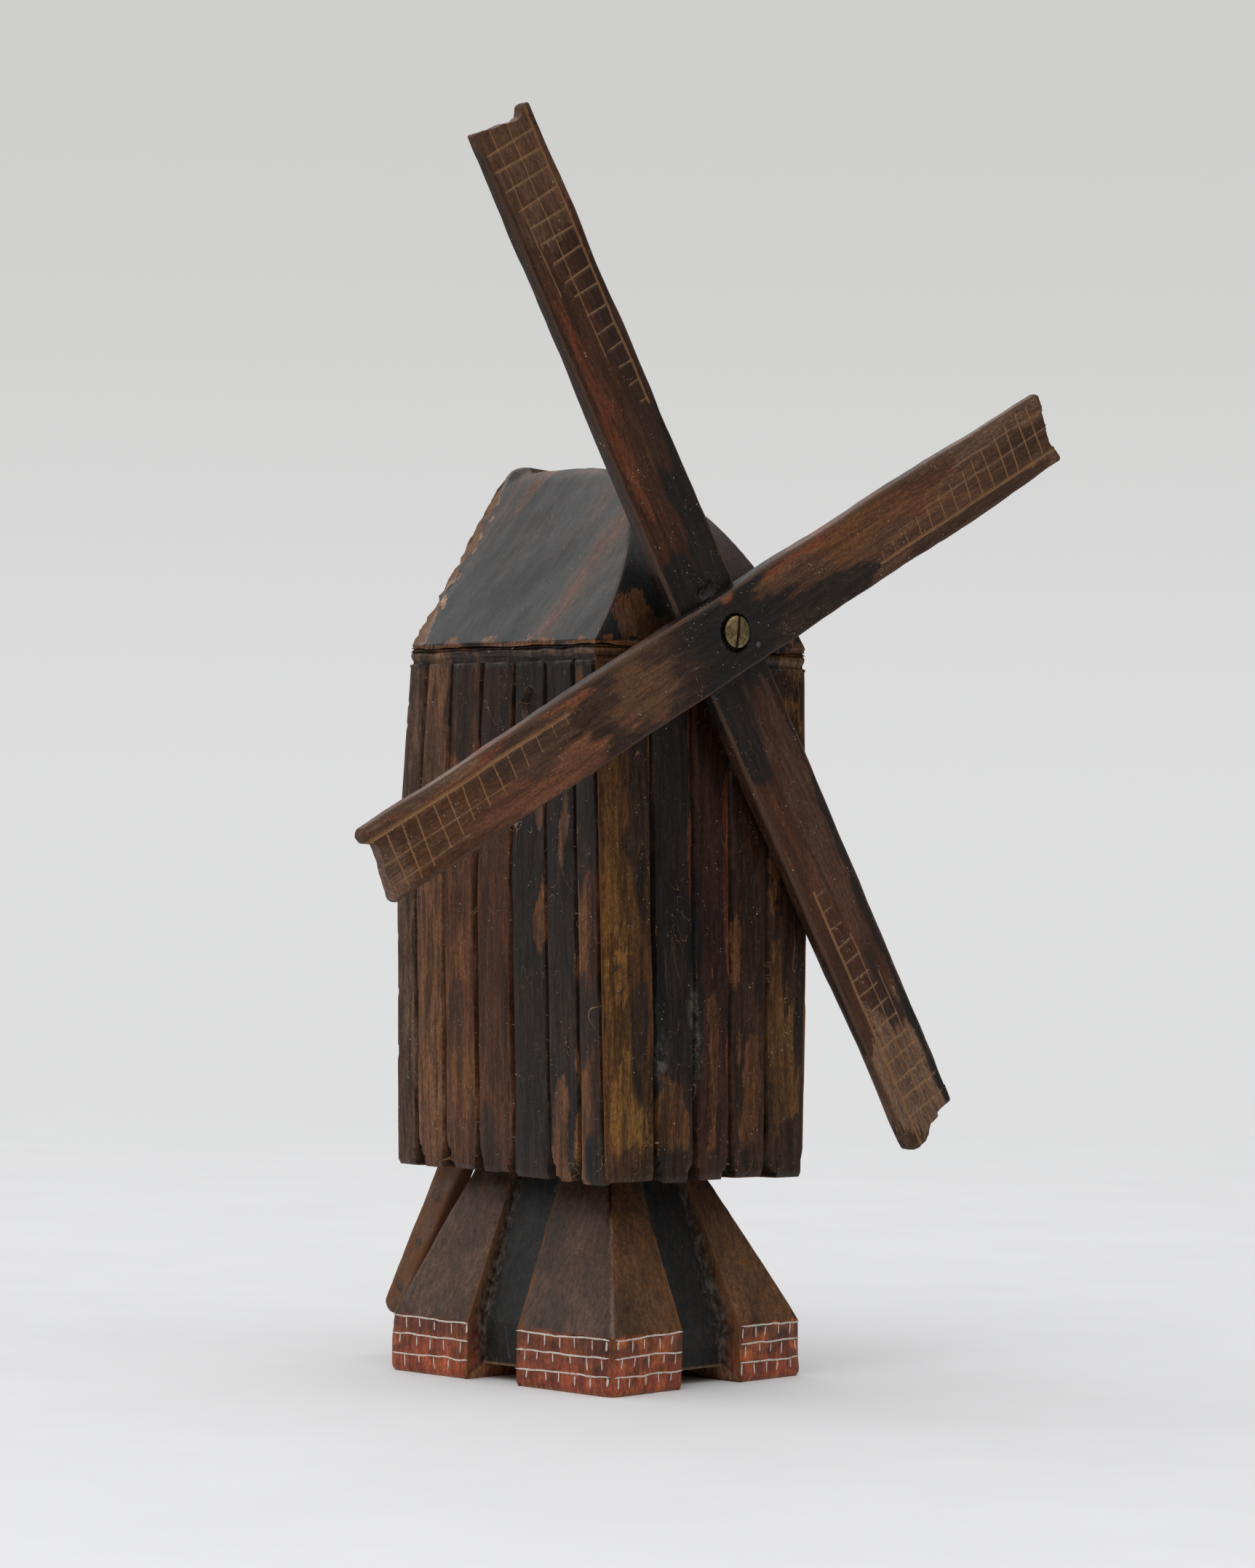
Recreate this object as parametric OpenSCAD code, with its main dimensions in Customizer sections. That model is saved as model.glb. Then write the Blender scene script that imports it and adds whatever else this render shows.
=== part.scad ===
// Carved wooden model of a post mill.
// The mill body turns on a dowel in a four-legged base, and two crossed sail bars spin on one screw.
// Frame: +Z up, origin at the centre of the base's underside, sails at -Y, ladder at +Y.

/* [Base block] */
// Width of the base at the floor, left to right
base_w = 62.4; // [54:0.2:76]
// Depth of the base at the floor, front to back
base_d = 67; // [58:0.2:80]
// Height of the base block
base_h = 45; // [38:0.5:54]
// Height of the upright band that is painted as brickwork
band_h = 12.6; // [8:0.2:16]
// Width of the top of the base
top_w = 31; // [26:0.2:37]
// Depth of the top of the base
top_d = 41; // [34:0.2:46]
// How far the top sits to the right of the foot's centre
top_shift_x = -2; // [-3:0.2:3]
// How far the top sits behind the foot's centre
top_shift_y = 1; // [-3:0.2:3]
// Width of the groove between the legs on the left and right faces
side_groove_w = 13.5; // [8:0.5:20]
// Width of the groove between the legs on the front and back faces
front_groove_w = 17; // [8:0.5:20]
// Depth of the grooves at the floor
groove_foot_depth = 4.8; // [2:0.2:7]
// Depth of the grooves at the top
groove_top_depth = 1.6; // [0.6:0.2:3]
// Height of the channels under the block that leave four feet
foot_gap = 3.4; // [1:0.2:6]
// Angle that the base stands turned from the mill body, in degrees
base_turn = 7.2; // [-20:0.2:20]

/* [Mill body] */
// Width of the body at its underside
body_foot_w = 57.4; // [48:0.2:68]
// Depth of the body at its underside
body_foot_d = 72.6; // [64:0.2:84]
// Width of the body at the eaves
eaves_w = 61.2; // [52:0.2:72]
// Depth of the body at the eaves
eaves_d = 64.2; // [56:0.2:74]
// Height of the walls, from the underside to the eaves
wall_h = 115.7; // [96:0.5:140]
// How high up the walls the belly lies
belly_h = 64; // [40:1:80]
// How far the side walls swell at the belly, each
belly_side = 0.5; // [0:0.1:2]
// How far the front wall swells at the belly
belly_front = 0.6; // [0:0.1:1.5]
// How far the back wall swells at the belly
belly_back = 2.6; // [0:0.1:4]
// Gap between the base and the underside of the body
turn_gap = 0.3; // [0.2:0.1:1]

/* [Roof] */
// Height of the roof, from the eaves to the ridge
roof_h = 40.4; // [32:0.2:50]
// Radius of the rounded ridge
ridge_r = 7.4; // [4:0.2:9]
// Radius of the rounded front of the roof
nose_r = 40.4; // [36:0.2:50]
// Height of the groove cut round the eaves
eaves_groove_h = 2.6; // [1:0.2:4]
// Depth of the groove cut round the eaves
eaves_groove_depth = 1; // [0.4:0.1:2]
// Height of the strip between that groove and the roof slope
eaves_strip = 1.4; // [0.6:0.2:3]

/* [Planks] */
// Number of planks carved on each side wall
side_planks = 7; // [4:1:9]
// Number of planks carved on the front and back walls
front_planks = 5; // [3:1:7]
// Width of the groove between two planks
plank_groove_w = 1.1; // [0.6:0.1:2]
// Depth of the groove between two planks
plank_groove_depth = 0.8; // [0.3:0.1:1.5]

/* [Sails] */
// Height of the sail screw above the eaves
hub_rise = 2.5; // [0.5:0.1:5]
// Distance from the eaves' front wall to the front face of the sails
sail_reach = 11.1; // [11:0.1:14]
// Length of the front sail bar
front_bar_l = 218; // [180:0.5:230]
// Length of the back sail bar
back_bar_l = 250; // [200:0.5:252]
// How far the back bar's middle lies from the screw, towards its lower end
back_bar_offset = 2.8; // [0:0.1:4]
// How far the back bar's centre line lies to the left of the screw
back_bar_shift = 1.8; // [0:0.1:2.4]
// Angle of the front bar from level
front_bar_angle = 28.2; // [0:0.2:90]
// Angle between the two bars
bar_cross_angle = 93; // [80:0.2:100]
// Width of each bar at the screw
bar_hub_w = 17.8; // [14:0.2:20]
// Width of each bar at its tips
bar_tip_w = 17.2; // [12:0.2:20]
// Thickness of each bar at the screw
bar_hub_t = 4; // [3.6:0.1:5]
// Thickness of each bar at its tips
bar_tip_t = 2.6; // [1.6:0.1:3]
// Depth of the lap that each bar is notched by where they cross
lap_depth = 0.5; // [0.2:0.1:1]
// Half-length of the thick middle of each bar
bar_boss_l = 18; // [14:1:24]
// How far the end of each arm is hollowed
tip_hollow = 1.6; // [0.4:0.1:3]

/* [Screw, collar and pins] */
// Diameter of the screw's head
screw_head_d = 7; // [6:0.1:8]
// Height of the screw's conical head
screw_head_h = 1.9; // [1.5:0.1:2.2]
// Height of the flat rim on the head
screw_rim_h = 0.5; // [0.3:0.1:0.8]
// Diameter of the screw's shank
screw_d = 3.4; // [2.8:0.1:4]
// How deep the screw goes into the body
screw_depth = 18; // [10:1:26]
// Width of the screwdriver slot
slot_w = 0.9; // [0.6:0.1:1.2]
// Depth of the screwdriver slot
slot_depth = 0.7; // [0.4:0.1:0.9]
// Diameter of the collar that holds the sails off the wall
collar_d = 11; // [8:0.2:12]
// How deep the collar is let into the wall
collar_seat = 0.8; // [0.4:0.1:2]
// Diameter of the small pin that locks the two bars together
lock_pin_d = 1.7; // [1.2:0.1:2.4]
// Distance of the lock pin from the screw's centre
lock_pin_reach = 6.8; // [6.2:0.1:8]
// Angle from the front bar down to the lock pin
lock_pin_turn = 49.8; // [30:0.2:60]
// Diameter of the dowel that the body turns on
dowel_d = 9; // [6:0.2:12]
// How deep the dowel goes into the base and into the body, each
dowel_depth = 16; // [10:1:24]
// Radial clearance of a fixed pin in its hole
fixed_clear = 0.03; // [0.01:0.01:0.1]
// Radial clearance of a turning pin in its hole
turn_clear = 0.06; // [0.03:0.01:0.1]
// Clearance between turning faces and their neighbours
side_clear = 0.2; // [0.1:0.05:0.4]

/* [Ladder] */
// Width across the ladder, over both side rails
ladder_w = 35; // [28:0.5:40]
// Thickness of each side rail, left to right
rail_t = 4.4; // [3:0.2:6]
// Width of each rail at its top
rail_top_w = 8; // [6:0.2:10]
// Width of each rail at its foot
rail_foot_w = 6.2; // [5:0.2:8]
// Lean of the ladder from upright, in degrees
ladder_lean = 30.3; // [24:0.1:36]
// Distance from the middle of the body to the back edge of the rails, at the underside
ladder_reach = 35.4; // [30:0.2:38]
// Length of the rails' back edge, from the underside to where the foot's round begins
rail_l = 36; // [28:0.5:40]
// Number of rungs
rungs = 3; // [2:1:4]
// Diameter of the rungs
rung_d = 2.5; // [1.6:0.1:3.2]
// Distance between rungs, along the rails
rung_pitch = 12.6; // [8:0.2:13]
// Distance from the foot's round to the lowest rung, along the rails
rung_start = 3.6; // [2:0.2:8]

/* [Hidden] */
$fn = 64;
far = 400;
cut = 1;
body_z = base_h + turn_gap;
eaves_z = body_z + wall_h;
ridge_z = eaves_z + roof_h;
hub_z = eaves_z + hub_rise;
sail_y = -eaves_d / 2 - sail_reach;
lap_y = sail_y + bar_hub_t - lap_depth;
back_bar_y = lap_y - lap_depth;
sails_back_y = back_bar_y + bar_hub_t;
collar_seat_y = -eaves_d / 2 + collar_seat;
screw_face_y = sail_y - screw_rim_h;
screw_tip_y = -eaves_d / 2 + screw_depth;
bar_angles = [front_bar_angle, front_bar_angle + bar_cross_angle];
lock_pin_angle = front_bar_angle - lock_pin_turn;
rail_top = [ladder_reach, body_z];
rail_dir = [sin(ladder_lean), -cos(ladder_lean)];
rail_side = [-cos(ladder_lean), -sin(ladder_lean)];
rail_taper = (rail_top_w - rail_foot_w) / rail_l;

// A solid with the given outline across X, and the given outline across Y
module two_profiles() {
  intersection() {
    translate([0, far / 2, 0]) rotate([90, 0, 0]) linear_extrude(far) children(0);
    translate([-far / 2, 0, 0]) rotate([90, 0, 90]) linear_extrude(far) children(1);
  }
}

// A round bar along Y from y0 to y1
module bar_y(r, y0, y1) {
  translate([0, y1, 0]) rotate([90, 0, 0]) cylinder(r = r, h = y1 - y0);
}

// Outline of the base in one direction, inset by one depth at the foot and another at the top
function base_outline(w, top, shift, foot_in, top_in, low) = [
  [-w / 2 + foot_in, low], [w / 2 - foot_in, low],
  [w / 2 - foot_in, band_h], [shift + top / 2 - top_in, base_h],
  [shift - top / 2 + top_in, base_h], [-w / 2 + foot_in, band_h]
];

module base_solid(foot_in, top_in, low) {
  two_profiles() {
    polygon(base_outline(base_w, top_w, top_shift_x, foot_in, top_in, low));
    polygon(base_outline(base_d, top_d, top_shift_y, foot_in, top_in, low));
  }
}

module leg_grooves(high) {
  translate([-front_groove_w / 2, -far / 2, -cut]) cube([front_groove_w, far, high + cut]);
  translate([-far / 2, -side_groove_w / 2, -cut]) cube([far, side_groove_w, high + cut]);
}

module base_block() {
  color("#5a3d2b") rotate([0, 0, base_turn]) difference() {
    base_solid(0, 0, 0);
    difference() {
      leg_grooves(base_h + cut);
      base_solid(groove_foot_depth, groove_top_depth, foot_gap);
    }
    leg_grooves(foot_gap);
    translate([0, 0, base_h - dowel_depth])
      cylinder(r = dowel_d / 2 + fixed_clear, h = dowel_depth + cut);
  }
}

module pivot_dowel() {
  color("#8a6a45") translate([0, 0, base_h - dowel_depth + side_clear])
    cylinder(d = dowel_d, h = 2 * dowel_depth + turn_gap - 2 * side_clear);
}

// Walls and roof seen from the front, inset by a depth
module front_outline(inset) {
  half_foot = body_foot_w / 2 - inset;
  half_eaves = eaves_w / 2 - inset;
  half_belly = (half_foot + (half_eaves - half_foot) * belly_h / wall_h) + belly_side;
  ridge_c = ridge_z - ridge_r;
  slope = atan2(ridge_c - eaves_z, eaves_w / 2) + asin(ridge_r / norm([ridge_c - eaves_z, eaves_w / 2]));
  tangent = [ridge_r * sin(slope), ridge_c + ridge_r * cos(slope)];
  polygon([
    [-half_foot, body_z], [half_foot, body_z],
    [half_belly, body_z + belly_h], [half_eaves, eaves_z],
    [tangent[0], tangent[1]], [-tangent[0], tangent[1]],
    [-half_eaves, eaves_z], [-half_belly, body_z + belly_h]
  ]);
  translate([0, ridge_c]) circle(r = ridge_r);
}

// Walls and roof seen from the side, inset by a depth; the roof's front is rounded
module side_outline(inset) {
  half_foot = body_foot_d / 2 - inset;
  half_eaves = eaves_d / 2 - inset;
  half_belly = half_foot + (half_eaves - half_foot) * belly_h / wall_h;
  nose_y = -half_eaves + nose_r;
  polygon([
    [-half_foot, body_z], [half_foot, body_z],
    [half_belly + belly_back, body_z + belly_h], [half_eaves, eaves_z],
    [half_eaves, ridge_z], [nose_y, ridge_z], [nose_y, eaves_z],
    [-half_eaves, eaves_z], [-half_belly - belly_front, body_z + belly_h]
  ]);
  intersection() {
    translate([nose_y, ridge_z - nose_r]) circle(r = nose_r, $fn = 128);
    translate([-half_eaves, eaves_z]) square([nose_r, ridge_z - eaves_z]);
  }
}

module mill_solid(inset) {
  two_profiles() {
    front_outline(inset);
    side_outline(inset);
  }
}

// Slabs that mark where the grooves between the planks lie
module plank_slabs() {
  slab_h = wall_h - eaves_strip - eaves_groove_h;
  for (i = [1 : side_planks - 1])
    translate([-far / 2, (i / side_planks - 0.5) * body_foot_d - plank_groove_w / 2, body_z - cut])
      cube([far, plank_groove_w, slab_h + cut]);
  for (i = [1 : front_planks - 1])
    translate([(i / front_planks - 0.5) * body_foot_w - plank_groove_w / 2, -far / 2, body_z - cut])
      cube([plank_groove_w, far, slab_h + cut]);
}

module eaves_ring() {
  translate([0, 0, eaves_z - eaves_strip - eaves_groove_h]) linear_extrude(eaves_groove_h) difference() {
    square([2 * eaves_w, 2 * eaves_d], center = true);
    square([eaves_w - 2 * eaves_groove_depth, eaves_d - 2 * eaves_groove_depth], center = true);
  }
}

module mill_body() {
  color("#3c2419") difference() {
    mill_solid(0);
    difference() {
      plank_slabs();
      mill_solid(plank_groove_depth);
    }
    eaves_ring();
    translate([0, 0, body_z - cut]) cylinder(r = dowel_d / 2 + turn_clear, h = dowel_depth + cut);
    translate([0, 0, hub_z]) {
      bar_y(collar_d / 2 + fixed_clear, -eaves_d, collar_seat_y);
      bar_y(screw_d / 2 + fixed_clear, -eaves_d, screw_tip_y);
    }
  }
}

module hub_collar() {
  color("#4a3020") translate([0, 0, hub_z]) difference() {
    bar_y(collar_d / 2, sails_back_y + side_clear, collar_seat_y);
    bar_y(screw_d / 2 + fixed_clear, sails_back_y - cut, collar_seat_y + cut);
  }
}

module hub_screw() {
  color("#9a8348") translate([0, 0, hub_z]) difference() {
    union() {
      bar_y(screw_d / 2, screw_face_y + cut, screw_tip_y);
      bar_y(screw_head_d / 2, screw_face_y, screw_face_y + screw_rim_h);
      translate([0, screw_face_y + screw_rim_h + screw_head_h, 0]) rotate([90, 0, 0])
        cylinder(r1 = screw_d / 2, r2 = screw_head_d / 2, h = screw_head_h);
    }
    translate([-slot_w / 2, screw_face_y - cut, -screw_head_d]) cube([slot_w, slot_depth + cut, 2 * screw_head_d]);
  }
}

// One bar lying along X with its front face at y = 0, from x0 to x1
module plain_bar(x0, x1) {
  intersection() {
    translate([0, 0, -far / 2]) linear_extrude(far) polygon([
      [x0, 0], [x1, 0], [x1, bar_tip_t], [bar_boss_l, bar_hub_t],
      [-bar_boss_l, bar_hub_t], [x0, bar_tip_t]
    ]);
    rotate([90, 0, 0]) translate([0, 0, -far / 2]) linear_extrude(far) difference() {
      polygon([
        [x0, -bar_tip_w / 2], [0, -bar_hub_w / 2], [x1, -bar_tip_w / 2],
        [x1, bar_tip_w / 2], [0, bar_hub_w / 2], [x0, bar_tip_w / 2]
      ]);
      tip_arc(x1, 1);
      tip_arc(x0, -1);
    }
  }
}

// The shallow round hollow in the end of an arm
module tip_arc(x, side) {
  hollow_r = (tip_hollow * tip_hollow + bar_tip_w * bar_tip_w / 4) / (2 * tip_hollow);
  translate([x + side * (hollow_r - tip_hollow), 0]) circle(r = hollow_r, $fn = 96);
}

// The place where the other bar crosses, as a notch from y0 to y1
module lap_notch(angle, shift, y0, y1) {
  rotate([0, -angle, 0]) translate([-far / 2, y0, shift - bar_hub_w / 2 - side_clear])
    cube([far, y1 - y0, bar_hub_w + 2 * side_clear]);
}

module lock_pin_place() {
  rotate([0, -lock_pin_angle, 0]) translate([lock_pin_reach, 0, 0]) children();
}

module sail_bar_front() {
  color("#4b2c1c") translate([0, 0, hub_z]) difference() {
    translate([0, sail_y, 0]) rotate([0, -bar_angles[0], 0]) plain_bar(-front_bar_l / 2, front_bar_l / 2);
    lap_notch(bar_angles[1], back_bar_shift, lap_y, sails_back_y);
    bar_y(screw_d / 2 + turn_clear, sail_y - cut, sails_back_y);
    translate([0, sail_y + screw_head_h + side_clear, 0]) rotate([90, 0, 0])
      cylinder(r1 = screw_d / 2 + turn_clear, r2 = screw_head_d / 2 + side_clear, h = screw_head_h);
    bar_y(screw_head_d / 2 + side_clear, sail_y - cut, sail_y + side_clear);
    lock_pin_place() bar_y(lock_pin_d / 2 + fixed_clear, sail_y - cut, sails_back_y + cut);
  }
}

module sail_bar_back() {
  color("#3f2518") translate([0, 0, hub_z]) difference() {
    translate([0, back_bar_y, 0]) rotate([0, -bar_angles[1], 0]) translate([0, 0, back_bar_shift])
      plain_bar(-back_bar_l / 2 - back_bar_offset, back_bar_l / 2 - back_bar_offset);
    lap_notch(bar_angles[0], 0, sail_y - cut, lap_y);
    bar_y(screw_d / 2 + turn_clear, sail_y - cut, sails_back_y + cut);
    lock_pin_place() bar_y(lock_pin_d / 2 + fixed_clear, sail_y - cut, sails_back_y + cut);
  }
}

module lock_pin() {
  color("#2b211b") translate([0, 0, hub_z]) lock_pin_place()
    bar_y(lock_pin_d / 2, sail_y, sails_back_y);
}

// Side view of a rail: the Y direction is x here, and Z is y
module rail_outline() {
  round_c = rail_top + rail_l * rail_dir + rail_foot_w / 2 * rail_side;
  foot_round = [
    for (a = [0 : 12 : 180]) round_c + rail_foot_w / 2 * (sin(a) * rail_dir - cos(a) * rail_side)
  ];
  polygon(concat([rail_top], foot_round, [rail_top - [rail_top_w / cos(ladder_lean), 0]]));
}

// Where a rung's centre lies in the side view, counted from the foot
function rung_at(i) =
  let (along = rail_l - rung_start - i * rung_pitch,
       half_w = (rail_top_w - along * rail_taper) / 2)
  rail_top + along * rail_dir + half_w * rail_side;

module rung_bar(i, r, over) {
  at = rung_at(i);
  translate([-ladder_w / 2 - over, at[0], at[1]]) rotate([0, 90, 0]) cylinder(r = r, h = ladder_w + 2 * over);
}

module ladder_rail(x) {
  color("#6b442a") difference() {
    translate([x, 0, 0]) rotate([90, 0, 90]) linear_extrude(rail_t) rail_outline();
    for (i = [0 : rungs - 1])
      rung_bar(i, rung_d / 2 + fixed_clear, cut);
  }
}

module ladder_rail_left() ladder_rail(-ladder_w / 2);

module ladder_rail_right() ladder_rail(ladder_w / 2 - rail_t);

module ladder_rung(i) {
  if (i < rungs) color("#4d3322") rung_bar(i, rung_d / 2, 0);
}

base_block();
pivot_dowel();
mill_body();
hub_collar();
hub_screw();
sail_bar_front();
sail_bar_back();
lock_pin();
ladder_rail_left();
ladder_rail_right();
ladder_rung(0);  // ladder_rung_1
ladder_rung(1);  // ladder_rung_2
ladder_rung(2);  // ladder_rung_3
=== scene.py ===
"""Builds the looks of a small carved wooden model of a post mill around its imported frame.

Shapes are worked out in millimetres, in the frame's own axes, and written to Blender in metres. Each
sub-assembly is a class that holds its sizes, builds its meshes and dresses them in its finishes.
"""

import itertools
import logging
import math
from dataclasses import dataclass, field
from enum import Enum
from functools import cache

import bpy
import numpy as np
from mathutils import Matrix, Vector


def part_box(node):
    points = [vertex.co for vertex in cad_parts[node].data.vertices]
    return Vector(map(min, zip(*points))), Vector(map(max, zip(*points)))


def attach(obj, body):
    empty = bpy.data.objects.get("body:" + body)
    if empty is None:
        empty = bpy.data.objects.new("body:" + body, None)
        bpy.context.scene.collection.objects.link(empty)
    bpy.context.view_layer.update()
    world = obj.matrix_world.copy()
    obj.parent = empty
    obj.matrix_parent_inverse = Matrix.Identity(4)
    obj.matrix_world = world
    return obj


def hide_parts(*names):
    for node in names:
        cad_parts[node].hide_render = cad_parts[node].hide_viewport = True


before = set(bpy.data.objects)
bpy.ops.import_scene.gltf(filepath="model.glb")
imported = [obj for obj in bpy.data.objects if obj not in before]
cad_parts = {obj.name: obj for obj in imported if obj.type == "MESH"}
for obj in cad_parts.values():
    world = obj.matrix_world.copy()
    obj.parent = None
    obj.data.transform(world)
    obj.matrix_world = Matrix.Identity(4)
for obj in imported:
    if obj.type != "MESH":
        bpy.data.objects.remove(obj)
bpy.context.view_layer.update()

LOG = logging.getLogger("post_mill")
MM = 0.001
SHARP_ANGLE = math.radians(42)
Array = np.ndarray
Socket = bpy.types.NodeSocket


# ---- Number helpers ----


def cell_values(cells: Array, seed: int) -> Array:
    """Gives each whole-numbered cell its own repeatable value.

    Args:
        cells: Whole numbers, three to a cell.
        seed: Picks one of many patterns.

    Returns:
        One value from 0 to 1 for each cell.
    """
    mixed = cells[..., 0] * 73856093 ^ cells[..., 1] * 19349663 ^ cells[..., 2] * 83492791
    mixed = (mixed ^ (seed * 2654435761)) & 0xFFFFFFFF
    mixed = ((mixed ^ (mixed >> 13)) * 1274126177) & 0xFFFFFFFF
    return ((mixed ^ (mixed >> 16)) & 0xFFFF) / 0xFFFF


def ripple(x: Array | float, y: Array | float, z: Array | float, seed: int) -> Array:
    """Smooth noise from -1 to 1 whose bumps are one unit wide.

    Args:
        x: First coordinate, already divided by the bumps' width.
        y: Second coordinate.
        z: Third coordinate.
        seed: Picks one of many patterns.

    Returns:
        The noise at each place.
    """
    grid = np.stack(np.broadcast_arrays(x, y, z), axis=-1).astype(float)
    base = np.floor(grid)
    part = grid - base
    part = part * part * (3 - 2 * part)
    base = base.astype(np.int64)
    total = np.zeros(grid.shape[:-1])
    for corner in itertools.product((0, 1), repeat=3):
        pick = np.array(corner)
        weight = np.prod(np.where(pick == 1, part, 1 - part), axis=-1)
        total += weight * cell_values(base + pick, seed)
    return total * 2 - 1


def rough(x: Array | float, y: Array | float, z: Array | float, seed: int, layers: int = 3) -> Array:
    """Adds finer and finer layers of smooth noise.

    Args:
        x: First coordinate, already divided by the widest bumps' width.
        y: Second coordinate.
        z: Third coordinate.
        seed: Picks one of many patterns.
        layers: How many layers are added, each half as wide and half as strong.

    Returns:
        Noise from about -1 to 1.
    """
    total = 0.0
    for layer in range(layers):
        step = 2.0**layer
        total = total + ripple(x * step, y * step, z * step, seed + layer) / step
    return total / 1.5


def ease(low: float | Array, high: float | Array, value: Array) -> Array:
    """Goes smoothly from 0 where value is low to 1 where it is high, which may be the smaller one."""
    part = np.clip((value - low) / (np.asarray(high) - low), 0, 1)
    return part * part * (3 - 2 * part)


def vee(distance: Array, half_width: float | Array) -> Array:
    """The shape of a knife cut: 1 at its line, falling straight to 0 at its half-width."""
    return np.clip(1 - np.abs(distance) / half_width, 0, 1)


def places(start: float, end: float, step: float, marks: tuple = (), reach: float = 0.7,
           fine: float = 0.22) -> Array:
    """Lists places from start to end that crowd together round each mark.

    Args:
        start: The first place.
        end: The last place.
        step: The usual distance between places.
        marks: Places of fine detail.
        reach: How far each side of a mark the places are close together.
        fine: The distance between places there.

    Returns:
        The places in rising order.
    """
    marks = [mark for mark in marks if start < mark < end]
    coarse = np.linspace(start, end, max(2, round((end - start) / step) + 1))
    inner = [p for p in coarse[1:-1] if all(abs(p - mark) > reach for mark in marks)]
    count = max(1, round(reach / fine))
    close = [mark + reach * k / count for mark in marks for k in range(-count, count + 1)]
    wanted = sorted([start, end, *inner, *[p for p in close if start < p < end]])
    kept = [wanted[0]]
    for place in wanted[1:-1]:
        if place - kept[-1] > fine * 0.6 and end - place > fine * 0.6:
            kept.append(place)
    return np.array([*kept, end])


def rounded(point: Array, low: Array, high: Array, radius: float | Array) -> Array:
    """Rounds the corners of a box, point by point.

    Args:
        point: Points on the box, one row each.
        low: The box's lowest corner, alone or one for each point.
        high: The box's highest corner.
        radius: The radius of the corners, alone or one for each point.

    Returns:
        The moved points.
    """
    radius = np.broadcast_to(np.asarray(radius, float), point.shape[:1])[:, None]
    middle = (low + high) / 2
    inner_low = np.minimum(low + radius, middle)
    inner_high = np.maximum(high - radius, middle)
    core = np.clip(point, inner_low, inner_high)
    away = point - core
    length = np.linalg.norm(away, axis=1)[:, None]
    moved = core + away / np.maximum(length, 1e-9) * np.minimum(radius, length)
    return np.where(length > 1e-9, moved, point)


def turn(angle: float) -> Array:
    """The 3 by 3 matrix that turns a point about the upright axis by an angle in degrees."""
    return np.array(Matrix.Rotation(math.radians(angle), 3, "Z"))


# ---- Meshes ----


class End(Enum):
    """How one end of a block is closed."""

    GRID = "grid"
    FAN = "fan"


@dataclass
class Block:
    """The quads of a block with four long sides, with its places kept as u, v and w.

    u and v run across the block and w runs along it. Every vertex lies on the block's surface.
    """

    u: Array
    v: Array
    w: Array
    low: End = End.FAN
    high: End = End.FAN

    def __post_init__(self) -> None:
        """Works out the vertices' u, v and w, and the faces between them."""
        count_u, count_v, rows = len(self.u), len(self.v), len(self.w)
        ring = [(i, 0) for i in range(count_u - 1)]
        ring += [(count_u - 1, j) for j in range(count_v - 1)]
        ring += [(i, count_v - 1) for i in range(count_u - 1, 0, -1)]
        ring += [(0, j) for j in range(count_v - 1, 0, -1)]
        self.ring = len(ring)
        pairs = np.array(ring)
        self.at_u = np.tile(self.u[pairs[:, 0]], rows)
        self.at_v = np.tile(self.v[pairs[:, 1]], rows)
        self.at_w = np.repeat(self.w, self.ring)
        row, column = np.meshgrid(np.arange(rows - 1), np.arange(self.ring), indexing="ij")
        beside = (column + 1) % self.ring
        sides = [row * self.ring + column, row * self.ring + beside,
                 (row + 1) * self.ring + beside, (row + 1) * self.ring + column]
        self.quads = np.stack([side.ravel() for side in sides], axis=1)
        self.tris = np.zeros((0, 3), int)
        self._close(self.low, 0, self.w[0], pairs)
        self._close(self.high, (rows - 1) * self.ring, self.w[-1], pairs)

    def _close(self, end: End, first: int, level: float, pairs: Array) -> None:
        """Closes one end of the block.

        Args:
            end: The way that it is closed.
            first: The number of the end ring's first vertex.
            level: The end's w.
            pairs: The numbers of the ring's u and v.
        """
        upper = first > 0
        if end is End.FAN:
            centre = len(self.at_u)
            self._append([np.mean(self.u)], [np.mean(self.v)], level)
            near = first + np.arange(self.ring)
            far = first + (np.arange(self.ring) + 1) % self.ring
            rim = [near, far] if upper else [far, near]
            self.tris = np.vstack([self.tris, np.stack([np.full(self.ring, centre), *rim], axis=1)])
            return
        number = np.zeros((len(self.u), len(self.v)), int)
        inner_u, inner_v = np.meshgrid(self.u[1:-1], self.v[1:-1], indexing="ij")
        number[1:-1, 1:-1] = len(self.at_u) + np.arange(inner_u.size).reshape(inner_u.shape)
        number[pairs[:, 0], pairs[:, 1]] = first + np.arange(self.ring)
        self._append(inner_u.ravel(), inner_v.ravel(), level)
        corners = [number[:-1, :-1], number[1:, :-1], number[1:, 1:], number[:-1, 1:]]
        corners = corners if upper else corners[::-1]
        self.quads = np.vstack([self.quads, np.stack([c.ravel() for c in corners], axis=1)])

    def _append(self, more_u: Array, more_v: Array, level: float) -> None:
        """Adds vertices at one level.

        Args:
            more_u: Their u.
            more_v: Their v.
            level: Their w.
        """
        self.at_u = np.append(self.at_u, more_u)
        self.at_v = np.append(self.at_v, more_v)
        self.at_w = np.append(self.at_w, np.full(len(more_u), level))


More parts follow.
